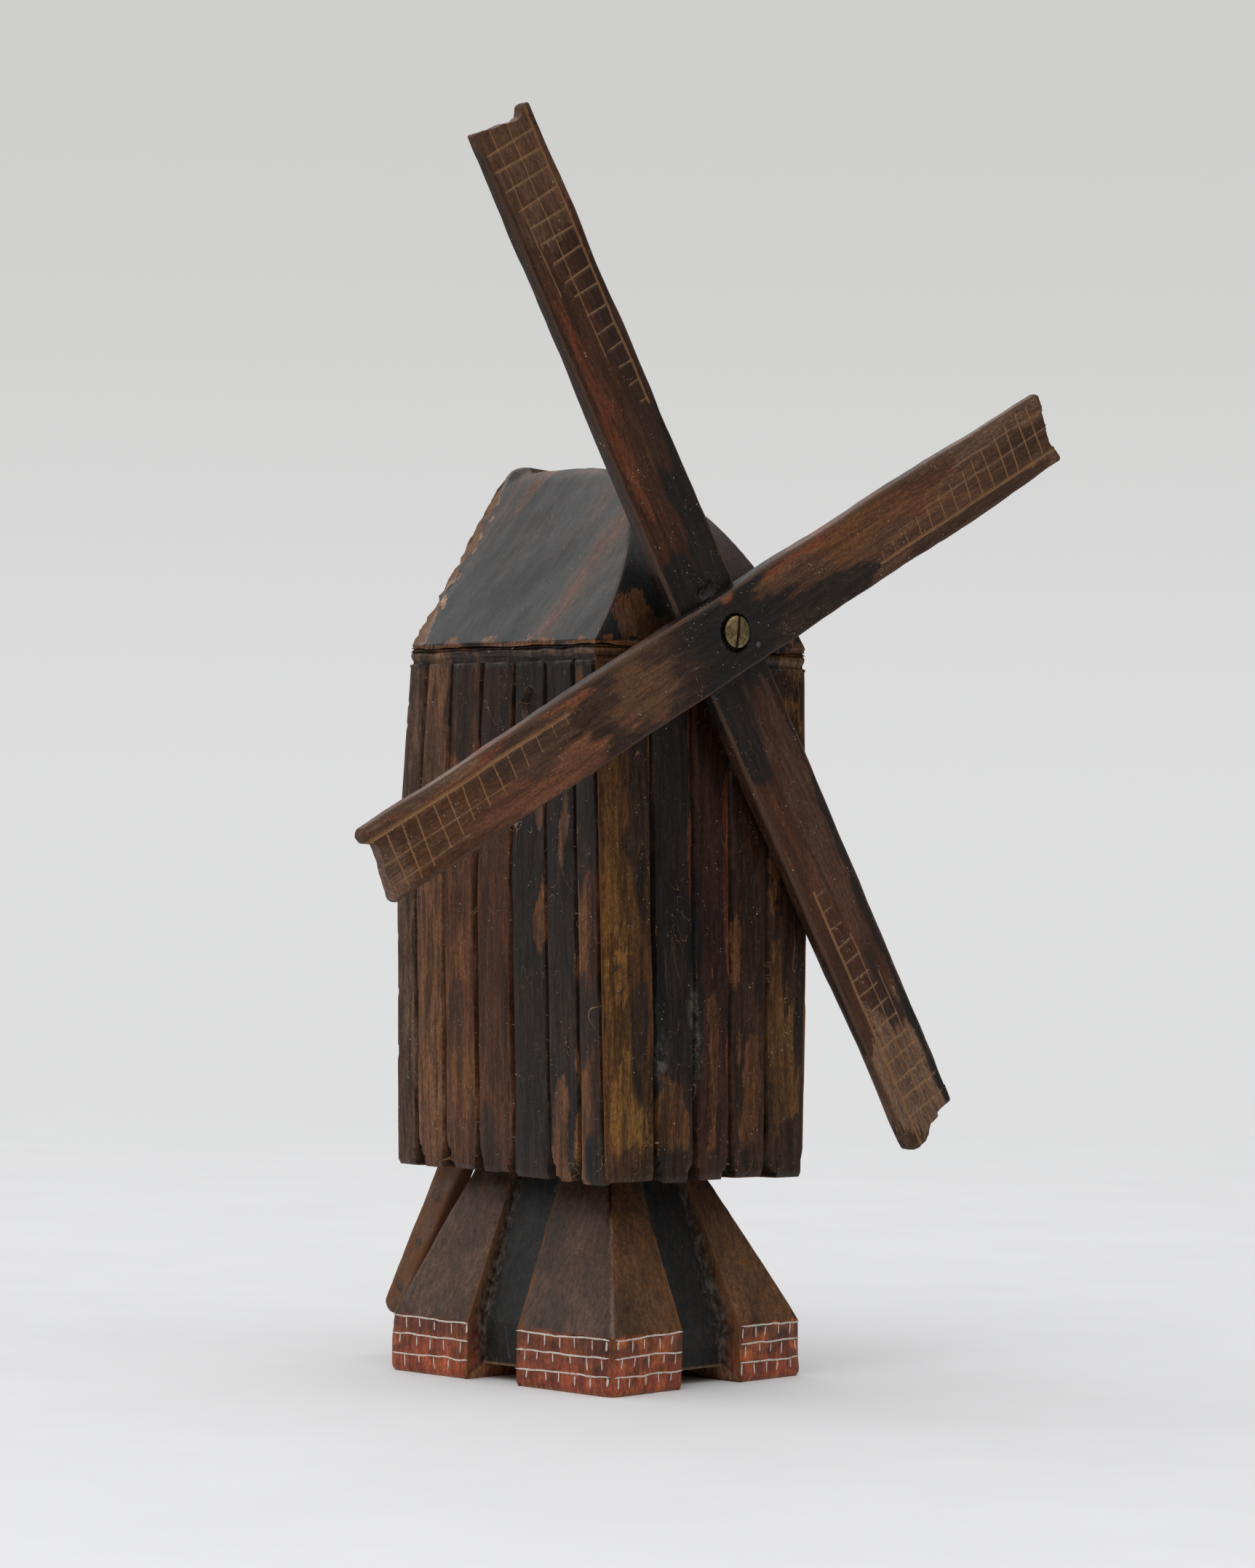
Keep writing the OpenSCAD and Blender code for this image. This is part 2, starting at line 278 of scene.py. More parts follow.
@dataclass
class Shape:
    """A mesh in millimetres, with the masks, colours and coordinates that its finish reads."""

    points: Array
    quads: Array
    tris: Array
    masks: dict[str, Array] = field(default_factory=dict)

    def __post_init__(self) -> None:
        """Turns every face outwards."""
        volume = 0.0
        for faces in self._faces():
            corners = self.points[faces]
            for k in range(1, faces.shape[1] - 1):
                volume += np.einsum("ij,ij->", corners[:, 0], np.cross(corners[:, k], corners[:, k + 1]))
        if volume < 0:
            self.quads = self.quads[:, ::-1]
            self.tris = self.tris[:, ::-1]

    def _faces(self) -> list[Array]:
        """The lists of faces that aren't empty."""
        return [faces for faces in (self.quads, self.tris) if len(faces)]

    def normals(self) -> Array:
        """The outward direction at each vertex.

        Returns:
            One direction of length 1 for each vertex.
        """
        total = np.zeros_like(self.points)
        for faces in self._faces():
            across = self.points[faces[:, 2]] - self.points[faces[:, 0]]
            other = self.points[faces[:, -1]] - self.points[faces[:, 1]]
            cross = np.cross(across, other)
            for k in range(faces.shape[1]):
                np.add.at(total, faces[:, k], cross)
        return total / np.maximum(np.linalg.norm(total, axis=1)[:, None], 1e-12)

    def carve(self, depth: Array, level: Array | None = None) -> None:
        """Moves each vertex inwards.

        Args:
            depth: How far each one moves.
            level: Which ones move only sideways, if any do.
        """
        inward = self.normals()
        if level is not None:
            inward[level, 2] = 0
            inward /= np.maximum(np.linalg.norm(inward, axis=1)[:, None], 1e-9)
        self.points = self.points - inward * depth[:, None]

    def object(self, name: str) -> bpy.types.Object:
        """Makes the Blender object.

        Args:
            name: The object's name.

        Returns:
            The object, in the scene.
        """
        mesh = bpy.data.meshes.new(name)
        faces = [*self.quads.tolist(), *self.tris.tolist()]
        mesh.from_pydata((self.points * MM).tolist(), [], faces)
        for key, values in self.masks.items():
            self.write(mesh, key, values)
        mesh.polygons.foreach_set("use_smooth", [True] * len(mesh.polygons))
        mesh.set_sharp_from_angle(angle=SHARP_ANGLE)
        made = bpy.data.objects.new(name, mesh)
        bpy.context.scene.collection.objects.link(made)
        return made

    @staticmethod
    def write(mesh: bpy.types.Mesh, key: str, values: Array) -> None:
        """Writes one attribute: a mask, or three numbers to a vertex.

        Args:
            mesh: The mesh that takes it.
            key: The attribute's name. "stain" and "under" are colours.
            values: The values.
        """
        if values.ndim == 1:
            made = mesh.attributes.new(key, "FLOAT", "POINT")
            made.data.foreach_set("value", values.astype(np.float32))
        elif key in ("stain", "under"):
            made = mesh.attributes.new(key, "FLOAT_COLOR", "POINT")
            colours = np.column_stack([values, np.ones(len(values))])
            made.data.foreach_set("color", colours.astype(np.float32).ravel())
        else:
            made = mesh.attributes.new(key, "FLOAT_VECTOR", "POINT")
            made.data.foreach_set("vector", values.astype(np.float32).ravel())


@dataclass(frozen=True)
class Place:
    """Where a piece belongs: its body, its material slot and the nodes that it stands for."""

    body: str
    slot: str
    nodes: tuple[str, ...] = ()

    def settle(self, piece: bpy.types.Object, material: bpy.types.Material) -> None:
        """Dresses a piece and ties it to the frame.

        Args:
            piece: The finished piece.
            material: Its material.
        """
        piece.data.materials.clear()
        piece.data.materials.append(material)
        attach(piece, self.body)
        if self.nodes:
            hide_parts(*self.nodes)
        LOG.info("%s: %d faces on %s", piece.name, len(piece.data.polygons), self.body)


# ---- Stains ----


class Tone(Enum):
    """The stains and paints on the model, as linear red, green and blue."""

    BLACK = (0.008, 0.0072, 0.0068)
    SOOT = (0.017, 0.0105, 0.008)
    UMBER = (0.028, 0.0125, 0.0065)
    PLUM = (0.025, 0.0085, 0.0050)
    RED_BROWN = (0.058, 0.020, 0.008)
    CHESTNUT = (0.086, 0.031, 0.011)
    BROWN = (0.112, 0.050, 0.024)
    GREY_BROWN = (0.080, 0.043, 0.026)
    WARM = (0.125, 0.048, 0.016)
    OCHRE = (0.075, 0.031, 0.009)
    GOLD = (0.170, 0.078, 0.017)
    HAZEL = (0.150, 0.080, 0.046)
    CUT = (0.300, 0.155, 0.065)
    MUD = (0.068, 0.032, 0.018)
    RUST = (0.220, 0.055, 0.019)
    RAW = (0.310, 0.175, 0.082)
    BRICK = (0.300, 0.062, 0.030)
    EMBER = (0.420, 0.105, 0.028)
    BRICK_DARK = (0.105, 0.030, 0.016)
    DUST = (0.260, 0.225, 0.185)
    SLATE = (0.030, 0.024, 0.020)

    @property
    def rgb(self) -> Array:
        """The tone as an array."""
        return np.array(self.value)


@dataclass(frozen=True)
class Patch:
    """A ragged patch of another tone on one face.

    Places are in millimetres on that face: across it, and along it or above the floor.
    """

    face: str
    across: float
    along: float
    half_across: float
    half_along: float
    tone: Tone
    strength: float = 0.85
    ragged: float = 0.5

    def cover(self, across: Array, along: Array, seed: int) -> Array:
        """How much of the patch lies at each place.

        Args:
            across: Places across the face.
            along: Places along the face.
            seed: Picks the ragged outline.

        Returns:
            Values from 0 to 1, which pass one half at the patch's outline.
        """
        near = np.hypot((across - self.across) / self.half_across, (along - self.along) / self.half_along)
        near = near + self.ragged * rough(across / 2.6, along / 9, self.along, seed, 3)
        return np.clip(1.5 - near, 0, 1)


def paint(stain: Array, tone: Tone, cover: Array) -> Array:
    """Lays a tone over a stain, as thickly as cover says."""
    return stain + (tone.rgb - stain) * cover[:, None]


def bare_layers(stain: Array) -> dict[str, Array]:
    """The layers of a stain that has no patches."""
    stain = np.clip(stain, 0.004, 1)
    return {"stain": stain, "under": stain, "bare": np.zeros(len(stain))}


def lay_patches(stain: Array, patches: tuple[Patch, ...], faces: dict[str, tuple],
                seed: int) -> dict[str, Array]:
    """Works out the layer of patches that shows through, or lies over, a stain.

    Args:
        stain: One colour for each vertex.
        patches: The patches, lowest first.
        faces: For each face's name, its mask and the places across and along it.
        seed: Picks the ragged outlines.

    Returns:
        The stain, the patches' colours and the mask of where they show.
    """
    under, bare = stain.copy(), np.zeros(len(stain))
    for number, patch in enumerate(patches):
        on_face, across, along = faces[patch.face]
        cover = patch.cover(across, along, seed + number) * on_face
        wanted = stain + (patch.tone.rgb - stain) * patch.strength
        under = under + (wanted - under) * ease(0.2, 0.5, cover)[:, None]
        bare = np.maximum(bare, cover)
    return {"stain": stain, "under": under, "bare": bare}


# ---- Node trees ----


class Tree:
    """Adds nodes to one material, group or world, and links them."""

    def __init__(self, tree: bpy.types.NodeTree) -> None:
        """Keeps the node tree that is filled."""
        self.tree = tree

    def add(self, kind: str, values: dict | None = None, **settings: object) -> bpy.types.Node:
        """Adds a node.

        Args:
            kind: The node's type.
            values: For each input, a socket to link or a value to set.
            **settings: The node's own properties.

        Returns:
            The new node.
        """
        node = self.tree.nodes.new(kind)
        for key, value in settings.items():
            setattr(node, key, value)
        self.feed(node, values or {})
        return node

    def feed(self, node: bpy.types.Node, values: dict) -> None:
        """Links or sets a node's inputs; a colour given as a Tone or three numbers gets full alpha."""
        for key, value in values.items():
            socket = node.inputs[key]
            if isinstance(value, bpy.types.NodeSocket):
                self.tree.links.new(value, socket)
            elif socket.type == "RGBA":
                socket.default_value = (*getattr(value, "value", value), 1.0)
            else:
                socket.default_value = value

    def math(self, operation: str, *values: object) -> Socket:
        """Adds a math node on its inputs, in order, and gives its output."""
        return self.add("ShaderNodeMath", dict(enumerate(values)), operation=operation).outputs[0]

    def blend(self, factor: object, low: object, high: object) -> Socket:
        """Blends two colours; the factor says how much of the second one shows."""
        return self.add("ShaderNodeMix", {0: factor, 6: low, 7: high}, data_type="RGBA").outputs[2]

    def spread(self, value: Socket, low: float, high: float, to_low: float = 0.0,
               to_high: float = 1.0) -> Socket:
        """Maps the values from low to high smoothly on to those from to_low to to_high."""
        named = {"Value": value, "From Min": low, "From Max": high, "To Min": to_low, "To Max": to_high}
        return self.add("ShaderNodeMapRange", named, interpolation_type="SMOOTHSTEP").outputs["Result"]

    def noise(self, vector: Socket, scale: tuple[float, float, float], detail: float = 4.0,
              roughness: float = 0.5, distortion: float = 0.0) -> Socket:
        """Adds noise that may be stretched.

        Args:
            vector: Coordinates in millimetres.
            scale: Bumps to a millimetre along each axis.
            detail: How many finer layers it has.
            roughness: How strong they are.
            distortion: How far they are pulled about.

        Returns:
            The noise, from 0 to 1.
        """
        placed = self.add("ShaderNodeMapping", {"Vector": vector, "Scale": scale}).outputs[0]
        named = {"Vector": placed, "Scale": 1.0, "Detail": detail, "Roughness": roughness,
                 "Distortion": distortion}
        return self.add("ShaderNodeTexNoise", named).outputs["Fac"]

    def read(self, name: str, output: str = "Fac") -> Socket:
        """Reads one of the mesh's attributes."""
        return self.add("ShaderNodeAttribute", attribute_name=name).outputs[output]

    def in_mm(self) -> Socket:
        """The object's own coordinates, in millimetres."""
        place = self.add("ShaderNodeTexCoord").outputs["Object"]
        return self.add("ShaderNodeMapping", {"Vector": place, "Scale": (1 / MM,) * 3}).outputs[0]

    def bump(self, height: Socket, strength: float, relief: float) -> Socket:
        """Turns heights into a surface direction; the relief is in millimetres."""
        named = {"Height": height, "Strength": strength, "Distance": relief * MM}
        return self.add("ShaderNodeBump", named).outputs[0]

    def group(self, group: bpy.types.NodeTree, vector: Socket, **values: object) -> bpy.types.Node:
        """Places a shared group on its coordinates and its other inputs."""
        return self.add("ShaderNodeGroup", {"Vector": vector, **values}, node_tree=group)


def group_tree(name: str, inputs: dict[str, float], outputs: tuple[str, ...]) -> tuple[Tree, object]:
    """Starts a shader node group that works on coordinates in millimetres.

    Args:
        name: The group's name.
        inputs: The other numbers that it takes, with their default values.
        outputs: The numbers that it gives.

    Returns:
        The tree to fill, and the outputs of its node of inputs.
    """
    made = bpy.data.node_groups.new(name, "ShaderNodeTree")
    made.interface.new_socket(name="Vector", in_out="INPUT", socket_type="NodeSocketVector")
    for key, value in inputs.items():
        socket = made.interface.new_socket(name=key, in_out="INPUT", socket_type="NodeSocketFloat")
        socket.default_value = value
    for key in outputs:
        made.interface.new_socket(name=key, in_out="OUTPUT", socket_type="NodeSocketFloat")
    tree = Tree(made)
    return tree, tree.add("NodeGroupInput").outputs


@dataclass(frozen=True)
class Effects:
    """The effects that several finishes share, each as one node group."""

    grain: bpy.types.NodeTree
    wear: bpy.types.NodeTree
    dust: bpy.types.NodeTree
    scratch: bpy.types.NodeTree

    @classmethod
    @cache
    def shared(cls) -> "Effects":
        """All the groups, which are made once."""
        return cls(cls._grain(), cls._wear(), cls._dust(), cls._scratch())

    @staticmethod
    def _grain() -> bpy.types.NodeTree:
        """Wood grain along the coordinates' third axis: streaks, fibres, pores, grit, relief.

        Returns:
            The group.
        """
        tree, given = group_tree("wood_grain", {}, ("Streaks", "Fibres", "Pores", "Grit", "Height"))
        vector = given["Vector"]
        streaks = tree.noise(vector, (0.62, 0.62, 0.055), 6, 0.68, 0.5)
        fibres = tree.noise(vector, (2.7, 2.7, 0.26), 4, 0.66, 0.3)
        dashes = tree.noise(vector, (4.2, 4.2, 0.62), 2, 0.5)
        pores = tree.spread(dashes, 0.60, 0.70)
        grit = tree.noise(vector, (1.5, 1.5, 0.9), 6, 0.74)
        height = tree.math("SUBTRACT", fibres, tree.math("MULTIPLY", pores, 0.7))
        named = {"Streaks": streaks, "Fibres": fibres, "Pores": pores, "Grit": grit, "Height": height}
        tree.add("NodeGroupOutput", named)
        return tree.tree

    @staticmethod
    def _wear() -> bpy.types.NodeTree:
        """A ragged mask of bare wood where an edge mask is strong.

        Returns:
            The group.
        """
        tree, given = group_tree("worn_edges", {"Edge": 0.0, "Amount": 0.5}, ("Mask",))
        vector = given["Vector"]
        wide = tree.noise(vector, (0.35, 0.35, 0.12), 3, 0.6)
        fine = tree.noise(vector, (2.6, 2.6, 0.8), 4, 0.65)
        both = tree.math("ADD", tree.math("MULTIPLY", wide, 0.9), tree.math("MULTIPLY", fine, 0.7))
        reach = tree.math("MULTIPLY", given["Edge"], given["Amount"])
        level = tree.math("SUBTRACT", tree.math("ADD", reach, tree.math("MULTIPLY", both, 0.62)), 0.72)
        tree.add("NodeGroupOutput", {"Mask": tree.spread(level, 0.0, 0.16)})
        return tree.tree

    @staticmethod
    def _dust() -> bpy.types.NodeTree:
        """Small pale specks, and a soft bloom that gathers where a hollow mask is strong.

        Returns:
            The group.
        """
        tree, given = group_tree("dust", {"Amount": 0.3, "Hollow": 0.0}, ("Specks", "Bloom"))
        vector = given["Vector"]
        wide = tree.add("ShaderNodeTexVoronoi", {"Vector": vector, "Scale": 0.55, "Randomness": 1.0})
        close = tree.add("ShaderNodeTexVoronoi", {"Vector": vector, "Scale": 1.15, "Randomness": 1.0})
        gate = tree.noise(vector, (0.21, 0.21, 0.21), 3, 0.6)
        size = tree.math("MULTIPLY", tree.spread(gate, 0.38, 0.66), given["Amount"])
        large = tree.math("SUBTRACT", tree.math("MULTIPLY", size, 0.17), wide.outputs["Distance"])
        small = tree.math("SUBTRACT", tree.math("MULTIPLY", size, 0.22), close.outputs["Distance"])
        specks = tree.math("MAXIMUM", tree.spread(large, 0.0, 0.05), tree.spread(small, 0.0, 0.08))
        cloud = tree.noise(vector, (0.8, 0.8, 0.5), 4, 0.65)
        bloom = tree.math("MULTIPLY", tree.spread(cloud, 0.38, 0.75), given["Hollow"])
        tree.add("NodeGroupOutput", {"Specks": specks, "Bloom": bloom})
        return tree.tree

    @staticmethod
    def _scratch() -> bpy.types.NodeTree:
        """Thin pale scratches and short nicks.

        Returns:
            The group.
        """
        tree, given = group_tree("scratches", {"Amount": 0.3}, ("Mask",))
        vector = given["Vector"]
        lines = tree.noise(vector, (0.14, 0.14, 0.06), 2, 0.4, 1.6)
        thin = tree.spread(tree.math("ABSOLUTE", tree.math("SUBTRACT", lines, 0.5)), 0.0035, 0.0)
        gate = tree.spread(tree.noise(vector, (0.09, 0.09, 0.07), 2, 0.5), 0.52, 0.62)
        amount = tree.math("MULTIPLY", gate, given["Amount"])
        tree.add("NodeGroupOutput", {"Mask": tree.math("MULTIPLY", thin, amount)})
        return tree.tree


# ---- Finishes ----


def new_material(name: str) -> tuple[bpy.types.Material, Tree, bpy.types.Node]:
    """Starts a material.

    Args:
        name: Its name.

    Returns:
        The material, its tree and its Principled shader.
    """
    material = bpy.data.materials.new(name)
    material.use_nodes = True
    material.node_tree.nodes.clear()
    tree = Tree(material.node_tree)
    shader = tree.add("ShaderNodeBsdfPrincipled")
    tree.add("ShaderNodeOutputMaterial", {"Surface": shader.outputs[0]})
    return material, tree, shader


@dataclass(frozen=True)
class StainedWood:
    """Stained and varnished wood that reads the masks its mesh carries.

    The mesh gives stain and under (colours), grain (coordinates along the wood) and the masks bare,
    edge, cut and hollow.
    """

    name: str
    gloss: float = 0.36
    coat: float = 0.25
    edge_tone: Tone = Tone.WARM
    edge_amount: float = 0.6
    cut_tone: Tone = Tone.RAW
    cut_strength: float = 0.7
    streak: float = 0.5
    speck: float = 0.35
    scratch: float = 0.4
    relief: float = 0.10
    shine: float = 0.30

    def material(self) -> bpy.types.Material:
        """Builds the material.

        Returns:
            The material.
        """
        effects = Effects.shared()
        material, tree, shader = new_material(self.name)
        vector = tree.read("grain", "Vector")
        grain = tree.group(effects.grain, vector).outputs
        torn = tree.math("MULTIPLY_ADD", grain["Grit"], 0.8, -0.4)
        torn = tree.math("MULTIPLY_ADD", tree.math("SUBTRACT", grain["Fibres"], 0.5), 1.1, torn)
        shows = tree.spread(tree.math("ADD", tree.read("bare"), torn), 0.44, 0.56)
        toned = tree.blend(shows, tree.read("stain", "Color"), tree.read("under", "Color"))
        dark = tree.spread(grain["Streaks"], 0.38, 0.62, 1 - self.streak, 1 + 0.8 * self.streak)
        fibre = tree.spread(grain["Fibres"], 0.34, 0.66, 0.80, 1.22)
        mottle = tree.spread(grain["Grit"], 0.36, 0.64, 0.72, 1.30)
        shade = tree.math("MULTIPLY", tree.math("MULTIPLY", dark, fibre), mottle)
        toned = tree.add("ShaderNodeVectorMath", {0: toned, "Scale": shade}, operation="SCALE").outputs[0]
        toned = tree.blend(tree.math("MULTIPLY", grain["Pores"], 0.5), toned, Tone.BLACK)
        worn = tree.group(effects.wear, vector, Edge=tree.read("edge"), Amount=self.edge_amount)
        worn = worn.outputs["Mask"]
        toned = tree.blend(tree.math("MULTIPLY", worn, 0.85), toned, self.edge_tone)
        cut = tree.read("cut")
        ragged = tree.math("MULTIPLY_ADD", tree.math("SUBTRACT", grain["Grit"], 0.5), 0.9, cut)
        ragged = tree.math("MULTIPLY", tree.spread(ragged, 0.30, 0.62), self.cut_strength)
        toned = tree.blend(ragged, toned, self.cut_tone)
        lines = tree.group(effects.scratch, vector, Amount=self.scratch).outputs["Mask"]
        toned = tree.blend(lines, toned, Tone.RAW)
        dust = tree.group(effects.dust, vector, Amount=self.speck, Hollow=tree.read("hollow")).outputs
        dusty = tree.math("MAXIMUM", dust["Specks"], tree.math("MULTIPLY", dust["Bloom"], 0.4))
        toned = tree.blend(dusty, toned, Tone.DUST)
        dull = tree.math("MAXIMUM", tree.math("MAXIMUM", worn, cut), dusty)
        haze = tree.spread(tree.noise(vector, (0.12, 0.12, 0.05), 4, 0.6), 0.3, 0.75, -0.06, 0.12)
        gloss = tree.math("ADD", tree.math("MULTIPLY", dull, 0.35), haze)
        pits = tree.noise(vector, (0.9, 0.9, 0.35), 4, 0.6)
        height = tree.math("ADD", grain["Height"], tree.math("MULTIPLY", pits, 0.8))
        height = tree.math("SUBTRACT", height, tree.math("MULTIPLY", lines, 0.8))
        tree.feed(shader, {"Base Color": toned, "Roughness": tree.math("ADD", gloss, self.gloss),
                           "Coat Weight": tree.math("MULTIPLY", tree.math("SUBTRACT", 1.0, dull), self.coat),
                           "Coat Roughness": 0.24, "Specular IOR Level": self.shine,
                           "Normal": tree.bump(height, 0.55, self.relief)})
        return material


@dataclass(frozen=True)
class TurnedWood:
    """Plain turned hardwood for the hidden dowel and collar, which keep their own meshes."""

    name: str
    light: Tone = Tone.WARM
    dark: Tone = Tone.UMBER
    gloss: float = 0.5

    def material(self) -> bpy.types.Material:
        """Builds the material.

        Returns:
            The material.
        """
        effects = Effects.shared()
        material, tree, shader = new_material(self.name)
        grain = tree.group(effects.grain, tree.in_mm()).outputs
        toned = tree.blend(tree.spread(grain["Streaks"], 0.35, 0.65), self.dark, self.light)
        toned = tree.blend(tree.math("MULTIPLY", grain["Pores"], 0.6), toned, Tone.SOOT)
        dull = tree.spread(grain["Fibres"], 0.3, 0.7, self.gloss - 0.08, self.gloss + 0.12)
        tree.feed(shader, {"Base Color": toned, "Roughness": dull,
                           "Normal": tree.bump(grain["Height"], 0.5, 0.1)})
        return material


@dataclass(frozen=True)
class OldMetal:
    """Dull metal with tarnish in blotches, fine brushing and grime in its hollows."""

    name: str
    bright: tuple[float, float, float]
    tarnish: tuple[float, float, float]
    grime: tuple[float, float, float]
    gloss: float = 0.38

    def material(self) -> bpy.types.Material:
        """Builds the material.

        Returns:
            The material.
        """
        material, tree, shader = new_material(self.name)
        vector = tree.read("grain", "Vector")
        blotch = tree.noise(vector, (0.75, 0.75, 0.75), 5, 0.65)
        brush = tree.noise(vector, (1.2, 9.0, 1.2), 3, 0.6)
        pits = tree.spread(tree.noise(vector, (3.1, 3.1, 3.1), 3, 0.6), 0.60, 0.72)
        toned = tree.blend(tree.spread(blotch, 0.36, 0.64), self.bright, self.tarnish)
        toned = tree.blend(tree.spread(brush, 0.45, 0.8, 0.0, 0.45), toned, self.bright)
        dirty = tree.math("MAXIMUM", tree.math("MULTIPLY", pits, 0.7), tree.read("hollow"))
        dull = tree.math("ADD", tree.math("MULTIPLY", blotch, 0.25), self.gloss)
        height = tree.math("SUBTRACT", tree.math("MULTIPLY", brush, 0.5), pits)
        tree.feed(shader, {"Base Color": tree.blend(dirty, toned, self.grime),
                           "Metallic": tree.math("SUBTRACT", 1.0, tree.math("MULTIPLY", dirty, 0.8)),
                           "Roughness": tree.math("ADD", dull, tree.math("MULTIPLY", dirty, 0.25)),
                           "Normal": tree.bump(height, 0.6, 0.05)})
        return material


@dataclass(frozen=True)
class BrushPaint:
    """Thin off-white paint laid on with a small brush, worn through in places."""

    name: str
    fresh: tuple[float, float, float] = (0.56, 0.50, 0.43)
    thin: tuple[float, float, float] = (0.34, 0.24, 0.18)

    def material(self) -> bpy.types.Material:
        """Builds the material.

        Returns:
            The material.
        """
        material, tree, shader = new_material(self.name)
        vector = tree.read("grain", "Vector")
        worn = tree.spread(tree.noise(vector, (1.3, 1.3, 1.3), 4, 0.65), 0.50, 0.68)
        bristle = tree.noise(vector, (4.0, 4.0, 4.0), 3, 0.6)
        tree.feed(shader, {"Base Color": tree.blend(worn, self.fresh, self.thin),
                           "Roughness": tree.spread(bristle, 0.3, 0.7, 0.5, 0.75),
                           "Normal": tree.bump(bristle, 0.5, 0.06)})
        return material


# ---- The mill's walls and roof ----


@dataclass
class BodyProfile:
    """The body's outlines, which its walls and its roof share, in millimetres."""

    foot_z: float
    ridge_z: float
    eaves_w: float
    eaves_d: float = 64.2
    foot_w: float = 57.4
    foot_d: float = 72.6
    roof_h: float = 40.4
    ridge_r: float = 7.4
    belly_z: float = 109.3
    belly_side: float = 0.5
    belly_front: float = 0.6
    belly_back: float = 2.6

    @classmethod
    def from_frame(cls) -> "BodyProfile":
        """Reads the heights and the width from the frame."""
        low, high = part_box("mill_body")
        return cls(foot_z=low[2] / MM, ridge_z=high[2] / MM, eaves_w=(high[0] - low[0]) / MM)

    @property
    def eaves_z(self) -> float:
        """The height of the eaves."""
        return self.ridge_z - self.roof_h

    @property
    def ridge_c(self) -> float:
        """The height of the ridge's round centre."""
        return self.ridge_z - self.ridge_r

    def tangent(self) -> tuple[float, float]:
        """Where the roof's slope meets the ridge's round: its half-width and height.

        Returns:
            The half-width and the height.
        """
        rise = self.ridge_c - self.eaves_z
        half = self.eaves_w / 2
        slope = math.atan2(rise, half) + math.asin(self.ridge_r / math.hypot(rise, half))
        return self.ridge_r * math.sin(slope), self.ridge_c + self.ridge_r * math.cos(slope)

    def _wall(self, z: Array, foot: float, eaves: float, bulge: float) -> Array:
        """Half a wall's size at a height: straight from foot to eaves, but for a bulge at the belly."""
        belly = foot + (eaves - foot) * (self.belly_z - self.foot_z) / (self.eaves_z - self.foot_z)
        return np.interp(z, [self.foot_z, self.belly_z, self.eaves_z], [foot, belly + bulge, eaves])

    def half_width(self, z: Array) -> Array:
        """The body's half-width at a height.

        Args:
            z: The heights.

        Returns:
            The half-width.
        """
        edge, edge_z = self.tangent()
        wall = self._wall(z, self.foot_w / 2, self.eaves_w / 2, self.belly_side)
        slope = np.interp(z, [self.eaves_z, edge_z], [self.eaves_w / 2, edge])
        ridge = np.sqrt(np.maximum(self.ridge_r**2 - (z - self.ridge_c) ** 2, 0))
        return np.where(z > edge_z, ridge, np.where(z > self.eaves_z, slope, wall))

    def front(self, z: Array) -> Array:
        """The y of the front face at a height: straight, then a quarter round over the gable.

        Args:
            z: The heights.

        Returns:
            The face's y.
        """
        wall = -self._wall(z, self.foot_d / 2, self.eaves_d / 2, self.belly_front)
        drop = np.sqrt(np.maximum(self.roof_h**2 - np.maximum(z - self.eaves_z, 0) ** 2, 0))
        return np.where(z > self.eaves_z, self.roof_h - self.eaves_d / 2 - drop, wall)

    def back(self, z: Array) -> Array:
        """The y of the back face at a height."""
        return self._wall(z, self.foot_d / 2, self.eaves_d / 2, self.belly_back)


